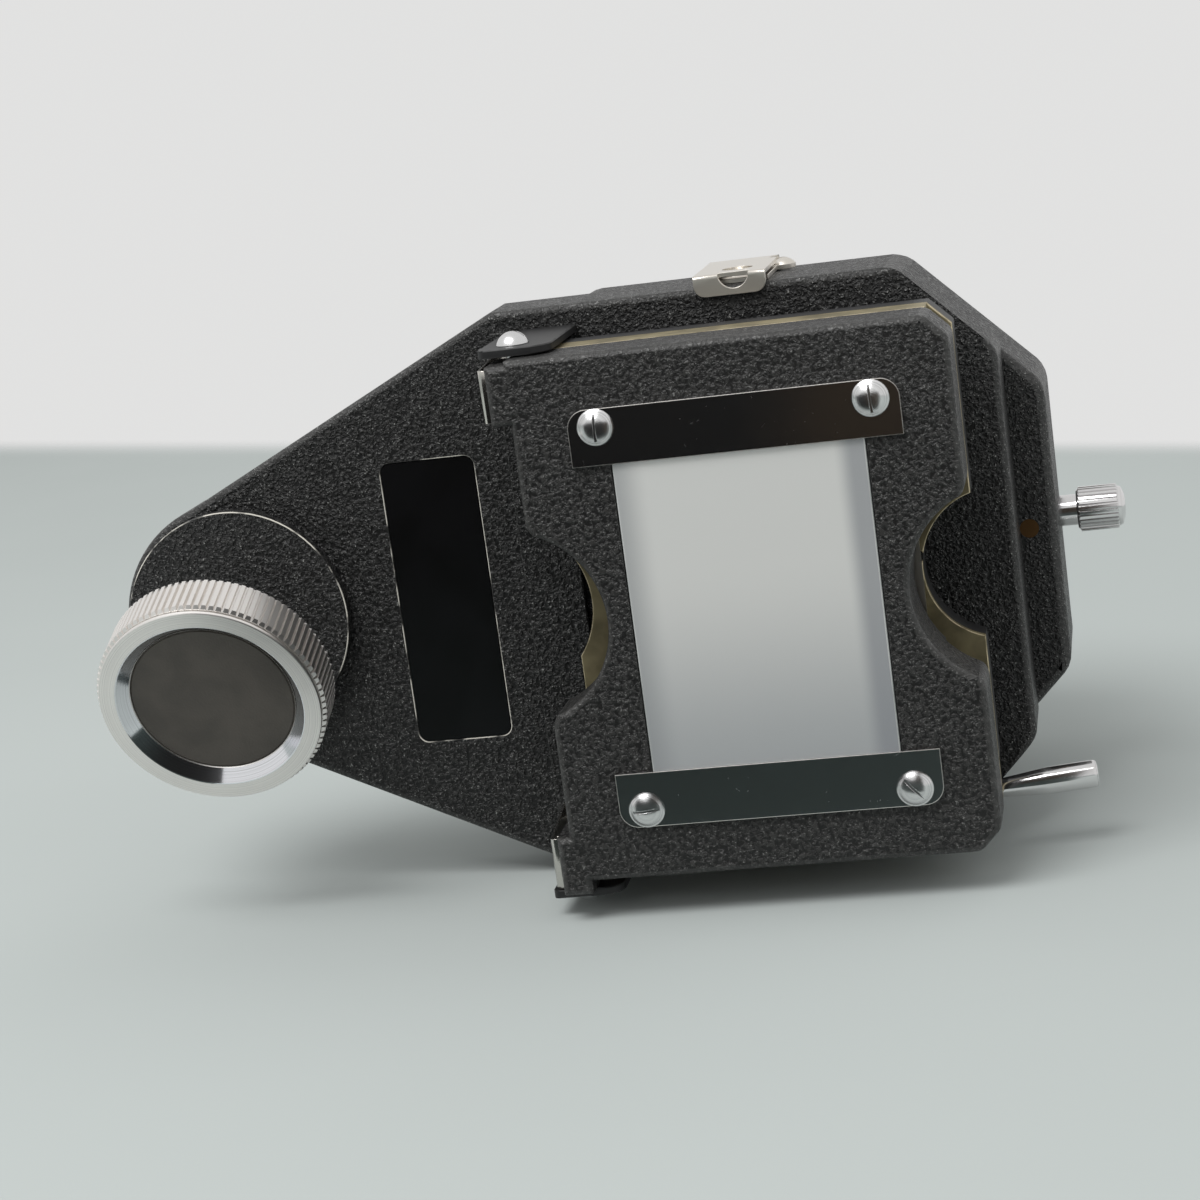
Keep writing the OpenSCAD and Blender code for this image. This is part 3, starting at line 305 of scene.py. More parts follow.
def plain_finish(name, light, dark, roughness, metallic=0.0, coat=0.0, patch=120.0,
                 grain=0.00001, edge=None):
    """Paint, enamel, metal or cloth whose colour wanders softly between two tones."""
    material, tree, shader, spot = start_material(name, metallic, coat)
    cloud = noise(tree, spot, patch, 5.0, 0.4)
    fine = noise(tree, spot, 3200.0, 2.0)
    colour = blend_colour(tree, ramp(tree, cloud, 0.3, 0.7), (*dark, 1), (*light, 1))
    # An edge colour is laid on the marked edge faces. On the black sheet it is rubbed paint, and on the
    # brass rims it is a painted highlight.
    if edge:
        mark = place(tree, "ShaderNodeAttribute", attribute_name="edge_band").outputs["Fac"]
        edge_wear_and_glint = maths(tree, "MULTIPLY", mark, ramp(tree, noise(tree, spot, 500.0, 3.0),
                                                 0.36, 0.56), clamp=True)
        colour = blend_colour(tree, edge_wear_and_glint, colour, (*edge, 1))
    feed(tree, shader, Base_Color=colour,
         Roughness=maths(tree, "MULTIPLY_ADD", cloud, 0.14, roughness))
    add_bump(tree, shader, fine, grain)
    return material


def turned_metal(name, colour, roughness, depth, pitch=9000.0):
    material, tree, shader, spot = start_material(name, 1.0)
    group = place_group(tree, turned, Pitch=pitch, Base_Roughness=roughness)
    haze = ramp(tree, noise(tree, spot, 90.0, 2.0), 0.35, 0.75)
    shade = maths(tree, "MULTIPLY_ADD", haze, 0.2,
                  maths(tree, "MULTIPLY", group.outputs["Tone"], 0.8))
    tone = blend_colour(tree, shade, (*colour, 1), (*[0.72 * c for c in colour], 1))
    feed(tree, shader, Base_Color=tone, Roughness=group.outputs["Roughness"])
    add_bump(tree, shader, group.outputs["Height"], depth)
    return material


def drawn_metal(name, colour, roughness, marks, depth):
    material, tree, shader, spot = start_material(name, 1.0)
    group = place_group(tree, drawn, Vector=spot, Base_Roughness=roughness, Marks=marks)
    tone = blend_colour(tree, group.outputs["Scratch"], (*colour, 1), (0.9, 0.9, 0.9, 1))
    feed(tree, shader, Base_Color=tone, Roughness=group.outputs["Roughness"])
    add_bump(tree, shader, group.outputs["Height"], depth)
    return material


print("recipes ready")

# %% [markdown]
# Now the finishes themselves. The castings share one paint, a little greyer on the door.
# The brass of the tray has gone olive, and its edges get a painted highlight. Polished
# pieces differ mostly in their roughness.

# %% Make the finishes
finish = {
    "casting": crinkle_paint("casting_crinkle", (0.022, 0.0215, 0.021),
                             (0.0035, 0.0035, 0.0035), 1900.0, 0.45, 0.00026),
    "door": crinkle_paint("door_crinkle", (0.034, 0.033, 0.032),
                          (0.0090, 0.0088, 0.0086), 1700.0, 0.22, 0.00022),
    "black_sheet": plain_finish("black_sheet", (0.020, 0.020, 0.021),
                                (0.010, 0.010, 0.010), 0.42, edge=(0.05, 0.05, 0.05)),
    "nameplate": plain_finish("black_enamel", (0.0045, 0.0045, 0.005),
                              (0.003, 0.003, 0.003), 0.10, coat=0.8, grain=0.000002),
    "matt_black": plain_finish("matt_black_anodised", (0.018, 0.018, 0.019),
                               (0.010, 0.010, 0.011), 0.5, metallic=0.4),
    # The brass's edge colour is a painted highlight on its rims.
    "brass": plain_finish("aged_brass", (0.34, 0.29, 0.17), (0.20, 0.17, 0.10), 0.42,
                          metallic=0.7, patch=260.0, edge=(0.72, 0.62, 0.42)),
    "bronze": plain_finish("dark_bronze", (0.26, 0.14, 0.06), (0.13, 0.07, 0.03), 0.35,
                           metallic=1.0),
    "steel": turned_metal("turned_steel", (0.46, 0.46, 0.45), 0.28, 0.000008),
    "screw_chrome": turned_metal("turned_chrome", (0.80, 0.80, 0.80), 0.20, 0.00001,
                                 4000.0),
    "knob_metal": turned_metal("turned_aluminium", (0.93, 0.90, 0.87), 0.32, 0.000003),
    "knob_polish": turned_metal("polished_cone", (0.86, 0.87, 0.90), 0.05, 0.000001),
    "lever_chrome": turned_metal("polished_chrome", (0.80, 0.79, 0.79), 0.07, 0.000002),
    "strip": drawn_metal("polished_strip", (0.62, 0.62, 0.62), 0.03, 0.5, 0.0000008),
    # The paler colour of the cut edges is a painted highlight.
    "strip_edge": drawn_metal("sheared_edge", (0.95, 0.92, 0.88), 0.35, 0.2, 0.000002),
    "nickel": drawn_metal("nickel_sheet", (0.78, 0.74, 0.68), 0.24, 0.25, 0.000004),
    "spring_nickel": drawn_metal("spring_nickel", (0.62, 0.60, 0.56), 0.12, 0.5, 0.000004),
    "leatherette": plain_finish("knob_leatherette", (0.070, 0.060, 0.050),
                                (0.048, 0.041, 0.034), 0.34, patch=180.0, grain=0.00004),
    "glass_rim": plain_finish("glass_rim", (0.50, 0.51, 0.50), (0.34, 0.36, 0.35), 0.22,
                              coat=0.3),
    "cloth": plain_finish("bellows_cloth", (0.016, 0.016, 0.017), (0.009, 0.009, 0.009),
                          0.78, patch=900.0, grain=0.00006),
}
print("finishes:", ", ".join(sorted(finish)))

# %% [markdown]
# ## Finish 3: opal glass
#
# The window is an opal diffuser, and light and shade are painted into its colour. Light
# from behind is painted into its middle. Near the left and right edges, where the dark rim
# of the door stands behind it, painted shade greys it. Painted shade also darkens its face
# gently towards the bottom. Object coordinates place these shades.

# %% Opal glass
opal, tree, shader, spot = start_material("opal_glass_lit", coat=0.35)
axes = put(tree, "ShaderNodeSeparateXYZ", Vector=spot)
across, upward = axes.outputs["X"], axes.outputs["Z"]
# Painted shade: grey bands near the left and right edges, and a darker lower part.
left_edge_painted_shade = ramp(tree, maths(tree, "MULTIPLY", across, -1.0), 0.0108, 0.0150)
right_edge_painted_shade = ramp(tree, across, 0.0110, 0.0134)
low_shade = ramp(tree, maths(tree, "MULTIPLY", upward, -1.0), -0.006, 0.021)
# Painted light: the pale middle stands for light from behind the glass.
opal_colour_with_painted_light = blend_colour(tree, low_shade, (0.58, 0.58, 0.565, 1), (0.34, 0.352, 0.36, 1))
opal_colour_with_painted_light = blend_colour(tree, maths(tree, "MULTIPLY", left_edge_painted_shade, 0.6), opal_colour_with_painted_light,
                    (0.23, 0.24, 0.25, 1))
opal_colour_with_painted_light = blend_colour(tree, maths(tree, "MULTIPLY", right_edge_painted_shade, 0.7), opal_colour_with_painted_light,
                    (0.215, 0.225, 0.245, 1))
wander = noise(tree, spot, 160.0, 3.0)
feed(tree, shader, Base_Color=opal_colour_with_painted_light,
     Roughness=maths(tree, "MULTIPLY_ADD", wander, 0.06, 0.30))
add_bump(tree, shader, noise(tree, spot, 2200.0, 2.0), 0.000004)
finish["opal"] = opal
print("opal glass:", len(tree.nodes), "nodes")

# %% [markdown]
# ## Helpers for meshes
#
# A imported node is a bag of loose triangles. To soften one, we copy it, weld the copy,
# merge its flat areas, and then bevel chosen edges, large roundings first and a hairline
# last. Each bevel marks its new faces, so the paint knows where the edges are.

# %% Mesh helpers
def link(name, mesh):
    piece = bpy.data.objects.new(name, mesh)
    bpy.context.scene.collection.objects.link(piece)
    return piece


def welded_copy(node):
    bm = bmesh.new()
    bm.from_mesh(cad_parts[node].data)
    bmesh.ops.remove_doubles(bm, verts=bm.verts, dist=0.002 * MM)
    bmesh.ops.dissolve_limit(bm, angle_limit=math.radians(0.8), verts=bm.verts,
                             edges=bm.edges, delimit={"NORMAL"})
    bm.faces.layers.float.new("edge_band")
    return bm


def is_convex(edge, least=35.0):
    return (len(edge.link_faces) == 2
            and edge.calc_face_angle_signed(0.0) > math.radians(least))


def middle(edge):
    return (edge.verts[0].co + edge.verts[1].co) / (2 * MM)


def lies_in_plane(edge, axis, value, slack=0.02):
    return all(abs(v.co[axis] / MM - value) < slack for v in edge.verts)


def runs_along(edge, axis):
    step = edge.verts[1].co - edge.verts[0].co
    return abs(step[axis]) > 0.999 * step.length


def off_depth(edge):
    """Picks the edges of a flat sheet's faces, and not those through its thickness."""
    return not runs_along(edge, 1)


def near(spot, x, half_x, half_z):
    """Whether a place lies in a box round (x, 0) as seen from the front."""
    return abs(spot.x - x) < half_x and abs(spot.z) < half_z


def round_edges(bm, wanted, width, segments, mark=1.0):
    """Bevels the convex edges that wanted(edge) picks, and marks the new faces."""
    edges = [e for e in bm.edges if is_convex(e) and wanted(e)]
    made = bmesh.ops.bevel(bm, geom=edges, offset=width * MM, offset_type="OFFSET",
                           segments=segments, profile=0.5, affect="EDGES",
                           clamp_overlap=False)
    layer = bm.faces.layers.float["edge_band"]
    for face in made["faces"]:
        face[layer] = mark
    return len(edges)


print("edge helpers ready")

# %% [markdown]
# A wide bevel on a flat with openings can fold the flat over itself, because the flat's
# inner edges are dragged along. The next helpers look for such flats, cut them out and
# fill their outlines again. A new triangle stays where more of the old layers faced
# outwards than inwards.

# %% Mend folded flats
LEAST_FOLD = 0.5 * MM * MM


def flat_patches(bm, axis):
    """Groups of joined faces that lie square to an axis."""
    loose = {face for face in bm.faces if abs(face.normal[axis]) > 0.9999}
    while loose:
        patch, queue = [], [loose.pop()]
        while queue:
            face = queue.pop()
            patch.append(face)
            for other in {f for edge in face.edges for f in edge.link_faces} & loose:
                loose.discard(other)
                queue.append(other)
        yield patch


def refill(bm, patch, axis, way):
    """Cuts a folded flat out and fills its outline again with fresh triangles."""
    u, v = (k for k in range(3) if k != axis)

    def on_flat(co):
        return Vector((co[u], co[v])) / MM

    old = [([on_flat(vert.co) for vert in face.verts], 1 if face.normal[axis] * way > 0 else -1)
           for face in patch]
    inside = set(patch)
    rim = {edge for face in patch for edge in face.edges
           if len(inside.intersection(edge.link_faces)) == 1}
    verts = list({vert for edge in rim for vert in edge.verts})
    number = {vert: k for k, vert in enumerate(verts)}
    pairs = [(number[edge.verts[0]], number[edge.verts[1]]) for edge in rim]
    depth = verts[0].co[axis]
    bmesh.ops.delete(bm, geom=patch, context="FACES")
    points, _, faces, origins, _, _ = delaunay_2d_cdt(
        [on_flat(vert.co) for vert in verts], pairs, [], 1, 1e-5)
    corners = []
    for point, origin in zip(points, origins):
        if origin:
            corners.append(verts[origin[0]])
        else:
            crossing = Vector((depth, depth, depth))
            crossing[u], crossing[v] = point * MM
            corners.append(bm.verts.new(crossing))
    for face in faces:
        centre = sum((points[k] for k in face), Vector((0.0, 0.0))) / 3
        layers = sum(side for ring, side in old if intersect_point_tri_2d(centre, *ring))
        if layers > 0:
            made = bm.faces.new([corners[k] for k in face])
            made.normal_update()
            if made.normal[axis] * way < 0:
                made.normal_flip()


def mend_flats(bm):
    """A wide bevel can fold a flat over itself: such a flat is filled again."""
    for axis in range(3):
        for patch in list(flat_patches(bm, axis)):
            areas = [0.0, 0.0]
            for face in patch:
                areas[face.normal[axis] > 0] += face.calc_area()
            if min(areas) > LEAST_FOLD:
                refill(bm, patch, axis, 1 if areas[1] > areas[0] else -1)


print("folds of more than", round(LEAST_FOLD / MM / MM, 2), "square mm are mended")

# %% [markdown]
# A piece is then made into an object. Its normals are set one by one: at each corner they
# follow the large faces, so that flats look flat and only the roundings shade. The last
# helpers give the piece its finish, its body and the node whose place it takes.

# %% Piece helpers
def corner_normals(bm, sharp):
    """One normal per face corner: the mean of the faces there that bend by less than
    sharp degrees, each weighed by its area, so that large flats stay flat."""
    limit = math.cos(math.radians(sharp))
    areas = {face: max(face.calc_area(), 1e-15) for face in bm.faces}
    normals = []
    for face in bm.faces:
        for loop in face.loops:
            total = Vector()
            for other in loop.vert.link_faces:
                if other.normal.dot(face.normal) > limit:
                    total += other.normal * areas[other]
            normals.append(total.normalized() if total.length > 0 else face.normal.copy())
    return normals


def to_mesh(bm, name, sharp=32.0):
    bmesh.ops.triangulate(bm, faces=[f for f in bm.faces
                                     if len(f.verts) > 4 or max(map(abs, f.normal)) > 0.999])
    bm.normal_update()
    mend_flats(bm)
    bm.normal_update()
    bm.faces.index_update()
    normals = corner_normals(bm, sharp)
    mesh = bpy.data.meshes.new(name)
    bm.to_mesh(mesh)
    bm.free()
    mesh.shade_smooth()
    mesh.normals_split_custom_set(normals)
    return mesh


def settle(piece, material, body, node):
    """Gives a piece its finish and its place in the model."""
    piece.data.materials.clear()
    piece.data.materials.append(finish[material])
    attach(piece, body)
    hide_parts(node)
    print(f"{piece.name}: {len(piece.data.polygons)} faces on {body}")
    return piece


def edge_finish(piece, material):
    """A second finish for the faces that were marked as rounded edges."""
    piece.data.materials.append(finish[material])
    marks = piece.data.attributes["edge_band"].data
    for face, mark in zip(piece.data.polygons, marks):
        face.material_index = int(mark.value > 0.5)


def soften(node, name, material, body, passes, hairline=0.1):
    """A welded copy of a node with its edges rounded, in place of that node."""
    bm = welded_copy(node)
    counts = [round_edges(bm, *step) for step in passes]
    if hairline:
        counts.append(round_edges(bm, lambda e: e.calc_length() > 2.2 * hairline * MM,
                                  hairline, 1, 0.8))
    piece = link(name, to_mesh(bm, name))
    print(name, "edges rounded:", counts)
    return settle(piece, material, body, node)


print("piece helpers ready")

# %% [markdown]
# ## The main plate
#
# The real plate is a casting: an arm that ends in a round boss for the clamp knob, and a
# broad body that carries the slide stage. Its outer front edge is rounded by about a
# millimetre. The rim of the boss and the edge of the nameplate's recess are worn to bare
# metal, so those bevels are thin and marked as bare.

# %% Main plate
PLATE_FRONT = node_box["nameplate"][0].y / MM
BOSS_FRONT = node_box["main_plate"][0].y / MM
KNOB_X, PLAQUE_X, HINGE_X = -70.2, -42.85, -26.6
BOSS_R = 14.7


def from_boss(edge):
    spot = middle(edge)
    return math.hypot(spot.x - KNOB_X, spot.z)


def on_plate_outline(edge):
    spot = middle(edge)
    inner = (near(spot, PLAQUE_X, 7.5, 20) or near(spot, 0.0, 25, 33)
             or near(spot, HINGE_X, 3, 20))
    return (lies_in_plane(edge, 1, PLATE_FRONT) and from_boss(edge) > BOSS_R + 0.3
            and not inner)


def at_plate_corner(edge):
    spot = middle(edge)
    return runs_along(edge, 1) and abs(spot.z) > 20 and abs(spot.x) > 15


def on_boss_rim(edge):
    return lies_in_plane(edge, 1, BOSS_FRONT) and from_boss(edge) > 10


def on_plaque_rim(edge):
    return lies_in_plane(edge, 1, PLATE_FRONT) and near(middle(edge), PLAQUE_X, 7, 20)


soften("main_plate", "stage_casting", "casting", "stage",
       [(at_plate_corner, 1.2, 3, 1.0), (on_plate_outline, 0.85, 5, 1.0),
        (on_boss_rim, 0.14, 2, 2.0), (on_plaque_rim, 0.12, 2, 2.0)], hairline=0)

# %% [markdown]
# The nameplate is a thin sheet of black enamel, left bare here. It lies in its recess
# with a hairline gap all round. A small bevel makes its edge glint.

# %% Nameplate
soften("nameplate", "bare_nameplate", "nameplate", "stage", [],
       hairline=0.12)

# %% [markdown]
# ## The housing behind the plate
#
# The octagonal housing holds the shift frame. It is a casting with the same paint, and
# its front edge is rounded more than the plate's.

# %% Housing
HOUSING_FRONT = node_box["housing"][0].y / MM
HOUSING_X = -2.65


def on_housing_outline(edge):
    x, z = abs(middle(edge).x - HOUSING_X), abs(middle(edge).z)
    outside = x > 35.5 or z > 33.0 or x + z > 53.0
    return lies_in_plane(edge, 1, HOUSING_FRONT) and outside


def is_long_upright(edge):
    return runs_along(edge, 1) and edge.calc_length() > 14 * MM


soften("housing", "housing_casting", "casting", "stage",
       [(is_long_upright, 1.5, 3, 1.0), (on_housing_outline, 1.1, 5, 1.0)])

# %% [markdown]
# ## The door
#
# The door is the piece that the hand opens. Its finger notches end in soft points, so the
# upright edges there get a wide rounding first, and then the whole front outline follows.

# %% Door frame
DOOR_FRONT = node_box["door_frame"][0].y / MM
STRIP_SCREW_X, STRIP_SCREW_Z = 16.2, 23.45


def at_notch_end(edge):
    spot = middle(edge)
    return runs_along(edge, 1) and abs(spot.x) > 25 and 10 < abs(spot.z) < 12.5


def at_door_corner(edge):
    spot = middle(edge)
    return runs_along(edge, 1) and abs(spot.z) > 28 and spot.x > 20


def on_door_outline(edge):
    spot = middle(edge)
    hole = math.hypot(abs(spot.x) - STRIP_SCREW_X, abs(spot.z) - STRIP_SCREW_Z) < 1.6
    return (lies_in_plane(edge, 1, DOOR_FRONT) and not hole
            and not near(spot, 0.0, 15.6, 22))


soften("door_frame", "door_casting", "door", "door",
       [(at_notch_end, 1.5, 5, 1.0), (at_door_corner, 0.6, 3, 1.0),
        (on_door_outline, 0.75, 5, 1.0)])

# %% [markdown]
# The opal glass is a plate with ground edges. Its rim shows as a fine bright line along
# the left and right sides of the window.

# %% Opal glass plate
glass = soften("opal_glass", "opal_window", "opal", "door",
               [(lambda e: lies_in_plane(e, 1, DOOR_FRONT), 0.22, 2, 1.0)], hairline=0)
edge_finish(glass, "glass_rim")

# %% [markdown]
# ## The bright strips
#
# Two polished strips hold the glass. They are sheared from sheet, and their edges show as
# bright lines: a narrow bevel takes a second, paler finish that paints a highlight there.
# What makes their faces look real is what they reflect.

# %% Glass strips
for side in ("upper", "lower"):
    strip = soften(f"glass_strip_{side}", f"bright_strip_{side}", "strip", "door",
                   [(off_depth, 0.10, 2, 1.0)], hairline=0)
    edge_finish(strip, "strip_edge")

# %% [markdown]
# ## Turned pieces
#
# A turned piece is a profile spun round an axis. This lathe helper takes the profile as
# pairs of radius and height, closes the poles, and stores each point's radius for the
# ring marks. A profile that ends where it began makes a ring with a hole.

# %% Lathe helper
def lathe_bmesh(profile, steps):
    """Spins pairs of (radius, height) in millimetres round Z."""
    bm = bmesh.new()
    layer = bm.verts.layers.float.new("turn_radius")
    bm.faces.layers.float.new("edge_band")
    rows = []
    for r, z in profile:
        count = 1 if r == 0 else steps
        row = []
        for k in range(count):
            turn = 2 * math.pi * k / steps
            vert = bm.verts.new(Vector((r * math.cos(turn), r * math.sin(turn), z)) * MM)
            vert[layer] = r * MM
            row.append(vert)
        rows.append(row)
    for low, high in zip(rows, rows[1:]):
        for k in range(steps):
            ring = [low[k % len(low)], low[(k + 1) % len(low)],
                    high[(k + 1) % len(high)], high[k % len(high)]]
            corners = list(dict.fromkeys(ring))
            if len(corners) > 2:
                bm.faces.new(corners)
    bmesh.ops.remove_doubles(bm, verts=bm.verts, dist=0.0005 * MM)
    bmesh.ops.recalc_face_normals(bm, faces=bm.faces)
    return bm


def spun(name, profile, steps, matrix, sharp=32.0):
    """A lathe piece, moved and turned into its place by a matrix."""
    bm = lathe_bmesh(profile, steps)
    bm.transform(matrix)
    return link(name, to_mesh(bm, name, sharp))


def dome_profile(radius, height, shank, depth):
    """A domed screw head on z = 0, and its shank below."""
    ball = (radius ** 2 + height ** 2) / (2 * height)
    reach = math.asin(min(1.0, radius / ball))
    rim, steps = 0.12, 10
    dome = [(ball * math.sin(reach * k / steps), ball * math.cos(reach * k / steps)
             - ball + height) for k in range(steps + 1)]
    dome = [(r, max(z, rim)) for r, z in dome]
    return dome + [(radius, 0.0), (shank, 0.0), (shank, -depth), (0.0, -depth)]


print("lathe ready")

# %% [markdown]
# ## Slotted screws by Geometry Nodes
#
# Screws repeat, so one tree makes them all. It takes a turned head, cuts a slot with a
# Boolean, and stands a copy on every point it is given. A named attribute, "turn", says
# how far each slot is turned, because no two screws in a real tool line up.

# %% Screw tree
def geometry_group(name, inputs):
    tree = bpy.data.node_groups.new(name, "GeometryNodeTree")
    tree.interface.new_socket("Geometry", in_out="INPUT",
                              socket_type="NodeSocketGeometry")
    for label, kind in inputs:
        tree.interface.new_socket(label, in_out="INPUT", socket_type=kind)
    tree.interface.new_socket("Geometry", in_out="OUTPUT",
                              socket_type="NodeSocketGeometry")
    return tree, place(tree, "NodeGroupInput"), place(tree, "NodeGroupOutput")


def close_tree(tree, geometry, material, out):
    """Every tree ends alike: real geometry, with its material set."""
    real = put(tree, "GeometryNodeRealizeInstances", Geometry=geometry)
    paint = put(tree, "GeometryNodeSetMaterial", Geometry=real.outputs[0],
                Material=material)
    feed(tree, out, Geometry=paint.outputs[0])


screws_tree, sc_in, sc_out = geometry_group(
    "slotted_screws",
    [("Head", "NodeSocketObject"), ("Slot Width", FLOAT), ("Slot Bottom", FLOAT),
     ("Slot Length", FLOAT), ("Facing", VECTOR), ("Material", "NodeSocketMaterial")])
head = put(screws_tree, "GeometryNodeObjectInfo", Object=sc_in.outputs["Head"])
CUTTER_H = 4 * MM
size = put(screws_tree, "ShaderNodeCombineXYZ", X=sc_in.outputs["Slot Length"],
           Y=sc_in.outputs["Slot Width"], Z=CUTTER_H)
cutter = put(screws_tree, "GeometryNodeMeshCube", Size=size.outputs[0])
lift = put(screws_tree, "ShaderNodeCombineXYZ", Z=maths(
    screws_tree, "ADD", sc_in.outputs["Slot Bottom"], CUTTER_H / 2))
raised = put(screws_tree, "GeometryNodeTransform", Geometry=cutter.outputs["Mesh"],
             Translation=lift.outputs[0])
slotted = place(screws_tree, "GeometryNodeMeshBoolean", operation="DIFFERENCE",
                solver="EXACT")
feed(screws_tree, slotted, Mesh_1=head.outputs["Geometry"], Mesh_2=raised.outputs[0])
turn_value = place(screws_tree, "GeometryNodeInputNamedAttribute", data_type="FLOAT")
feed(screws_tree, turn_value, Name="turn")
spin = put(screws_tree, "ShaderNodeCombineXYZ", Z=turn_value.outputs["Attribute"])
stand = put(screws_tree, "GeometryNodeInstanceOnPoints", Points=sc_in.outputs["Geometry"],
            Instance=slotted.outputs["Mesh"], Rotation=sc_in.outputs["Facing"])
turned_head = put(screws_tree, "GeometryNodeRotateInstances", Instances=stand.outputs[0],
                  Rotation=spin.outputs[0], Local_Space=True)
close_tree(screws_tree, turned_head.outputs[0], sc_in.outputs["Material"], sc_out)
print("screw tree:", len(screws_tree.nodes), "nodes")

# %% [markdown]
# A modifier's inputs are set by their identifiers. This helper finds them by name, runs
# the tree on a set of points, and keeps only the plain mesh that comes out.

# %% Run a tree
def grow(name, points, tree, **inputs):
    """points are pairs of a place in mm and a turn in degrees."""
    mesh = bpy.data.meshes.new(name + "_points")
    mesh.from_pydata([Vector(p) * MM for p, _ in points], [], [])
    turns = mesh.attributes.new("turn", "FLOAT", "POINT")
    turns.data.foreach_set("value", [math.radians(t) for _, t in points])
    seed = link(name + "_seed", mesh)
    modifier = seed.modifiers.new("grow", "NODES")
    modifier.node_group = tree
    for item in tree.interface.items_tree:
        key = item.name.lower().replace(" ", "_")
        if item.in_out == "INPUT" and key in inputs:
            modifier[item.identifier] = inputs[key]
    bpy.context.view_layer.update()
    grown = seed.evaluated_get(bpy.context.evaluated_depsgraph_get())
    made = bpy.data.meshes.new_from_object(grown)
    bpy.data.objects.remove(seed)
    made.name = name
    made.shade_smooth()
    made.set_sharp_from_angle(angle=math.radians(30))
    return link(name, made)


def screw_set(name, points, head, slot_cut, material, body, node):
    """Screws that face forward. head holds the head's radius and height, the shank's
    radius and its length below the seat, and slot_cut the slot's width and depth."""
    pattern = spun(name + "_pattern", dome_profile(*head), 48, Matrix())
    radius, height = head[:2]
    piece = grow(name, points, screws_tree, head=pattern, slot_width=slot_cut[0] * MM,
                 slot_bottom=(height - slot_cut[1]) * MM,
                 slot_length=(2 * radius + 1) * MM,
                 facing=[math.radians(90), 0, 0], material=finish[material])
    bpy.data.objects.remove(pattern)
    return settle(piece, material, body, node)


STRIP_FRONT = node_box["glass_strip_upper"][0].y / MM
strip_points = [((x * STRIP_SCREW_X, STRIP_FRONT, z * STRIP_SCREW_Z), turn)
                for x, z, turn in ((-1, 1, 88), (1, 1, 92), (-1, -1, 4), (1, -1, -48))]
screw_set("strip_screw_set", strip_points, (2.2, 1.1, 1.0, 4.5), (0.28, 0.55),
          "screw_chrome", "door", "strip_screws")

# %% [markdown]
# The two screws that hold the hinge strap use the same tree with other sizes. They are
# plain steel, and they sit under the door's edge.

# %% Strap screws
STRAP_WALL = 1.0
strap_points = [((HINGE_X, PLATE_FRONT - STRAP_WALL, z), turn)
                for z, turn in ((16, 30), (-16, 115))]
screw_set("strap_screw_set", strap_points, (1.7, 0.7, 1.0, 5.5), (0.4, 0.4), "steel",
          "stage", "bracket_screws")

# %% [markdown]
# ## The clamp knob
#
# The knob is one turned aluminium ring with a polished cone inside its face and a milled
# edge. The body is a lathe profile, and the milling is 96 ribs set round it by Geometry
# Nodes. The knob droops by 21 degrees, so its pieces are made upright and then turned
# together.

# %% Rib tree
ribs_tree, ri_in, ri_out = geometry_group(
    "ribs_around",
    [("Rib", "NodeSocketObject"), ("Count", "NodeSocketInt"),
     ("Place", VECTOR), ("Facing", VECTOR), ("Material", "NodeSocketMaterial")])
rib = put(ribs_tree, "GeometryNodeObjectInfo", Object=ri_in.outputs["Rib"])
line = put(ribs_tree, "GeometryNodeMeshLine", Count=ri_in.outputs["Count"],
           Offset=(0.0, 0.0, 0.0))
index = place(ribs_tree, "GeometryNodeInputIndex")
step = maths(ribs_tree, "DIVIDE", 2 * math.pi, ri_in.outputs["Count"])
angle = put(ribs_tree, "ShaderNodeCombineXYZ",
            Z=maths(ribs_tree, "MULTIPLY", index.outputs[0], step))
around = put(ribs_tree, "GeometryNodeInstanceOnPoints", Points=line.outputs[0],
             Instance=rib.outputs["Geometry"], Rotation=angle.outputs[0])
moved = put(ribs_tree, "GeometryNodeTransform", Geometry=around.outputs[0],
            Translation=ri_in.outputs["Place"], Rotation=ri_in.outputs["Facing"])
close_tree(ribs_tree, moved.outputs[0], ri_in.outputs["Material"], ri_out)
print("rib tree:", len(ribs_tree.nodes), "nodes")

# %% [markdown]
# One rib is a small bar with a flat top, sloping flanks and sloping ends, made at the
# radius where it stands. Its foot sinks a little into the body, as milled metal does.

# %% Knob body and milling
def rib_mesh(name, radius, height, foot, top, z0, z1, slope):
    """A bar from z0 to z1 that stands out from a radius, foot wide below and top above."""
    bm = bmesh.new()
    bm.verts.layers.float.new("turn_radius")
    bm.faces.layers.float.new("edge_band")
    low, high = radius - 0.12, radius + height
    ring = [(low, foot, z0), (high, top, z0 + slope), (high, top, z1 - slope),
            (low, foot, z1)]
    sides = [[bm.verts.new(Vector((r, s * w / 2, z)) * MM) for r, w, z in ring]
             for s in (-1, 1)]
    bm.faces.new(sides[0])
    bm.faces.new(sides[1][::-1])
    for a in range(4):
        b = (a + 1) % 4
        bm.faces.new([sides[0][b], sides[0][a], sides[1][a], sides[1][b]])
    bmesh.ops.recalc_face_normals(bm, faces=bm.faces)
    return link(name, to_mesh(bm, name))


def milled(name, rib_sizes, count, spot, facing, material, body, node):
    """Ribs set round a turned piece. rib_sizes are rib_mesh's sizes in millimetres."""
    pattern = rib_mesh(name + "_pattern", *rib_sizes)
    ribs = grow(name, [((0, 0, 0), 0)], ribs_tree, rib=pattern, count=count,
                place=[c * MM for c in spot], facing=[math.radians(a) for a in facing],
                material=finish[material])
    bpy.data.objects.remove(pattern)
    return settle(ribs, material, body, node)


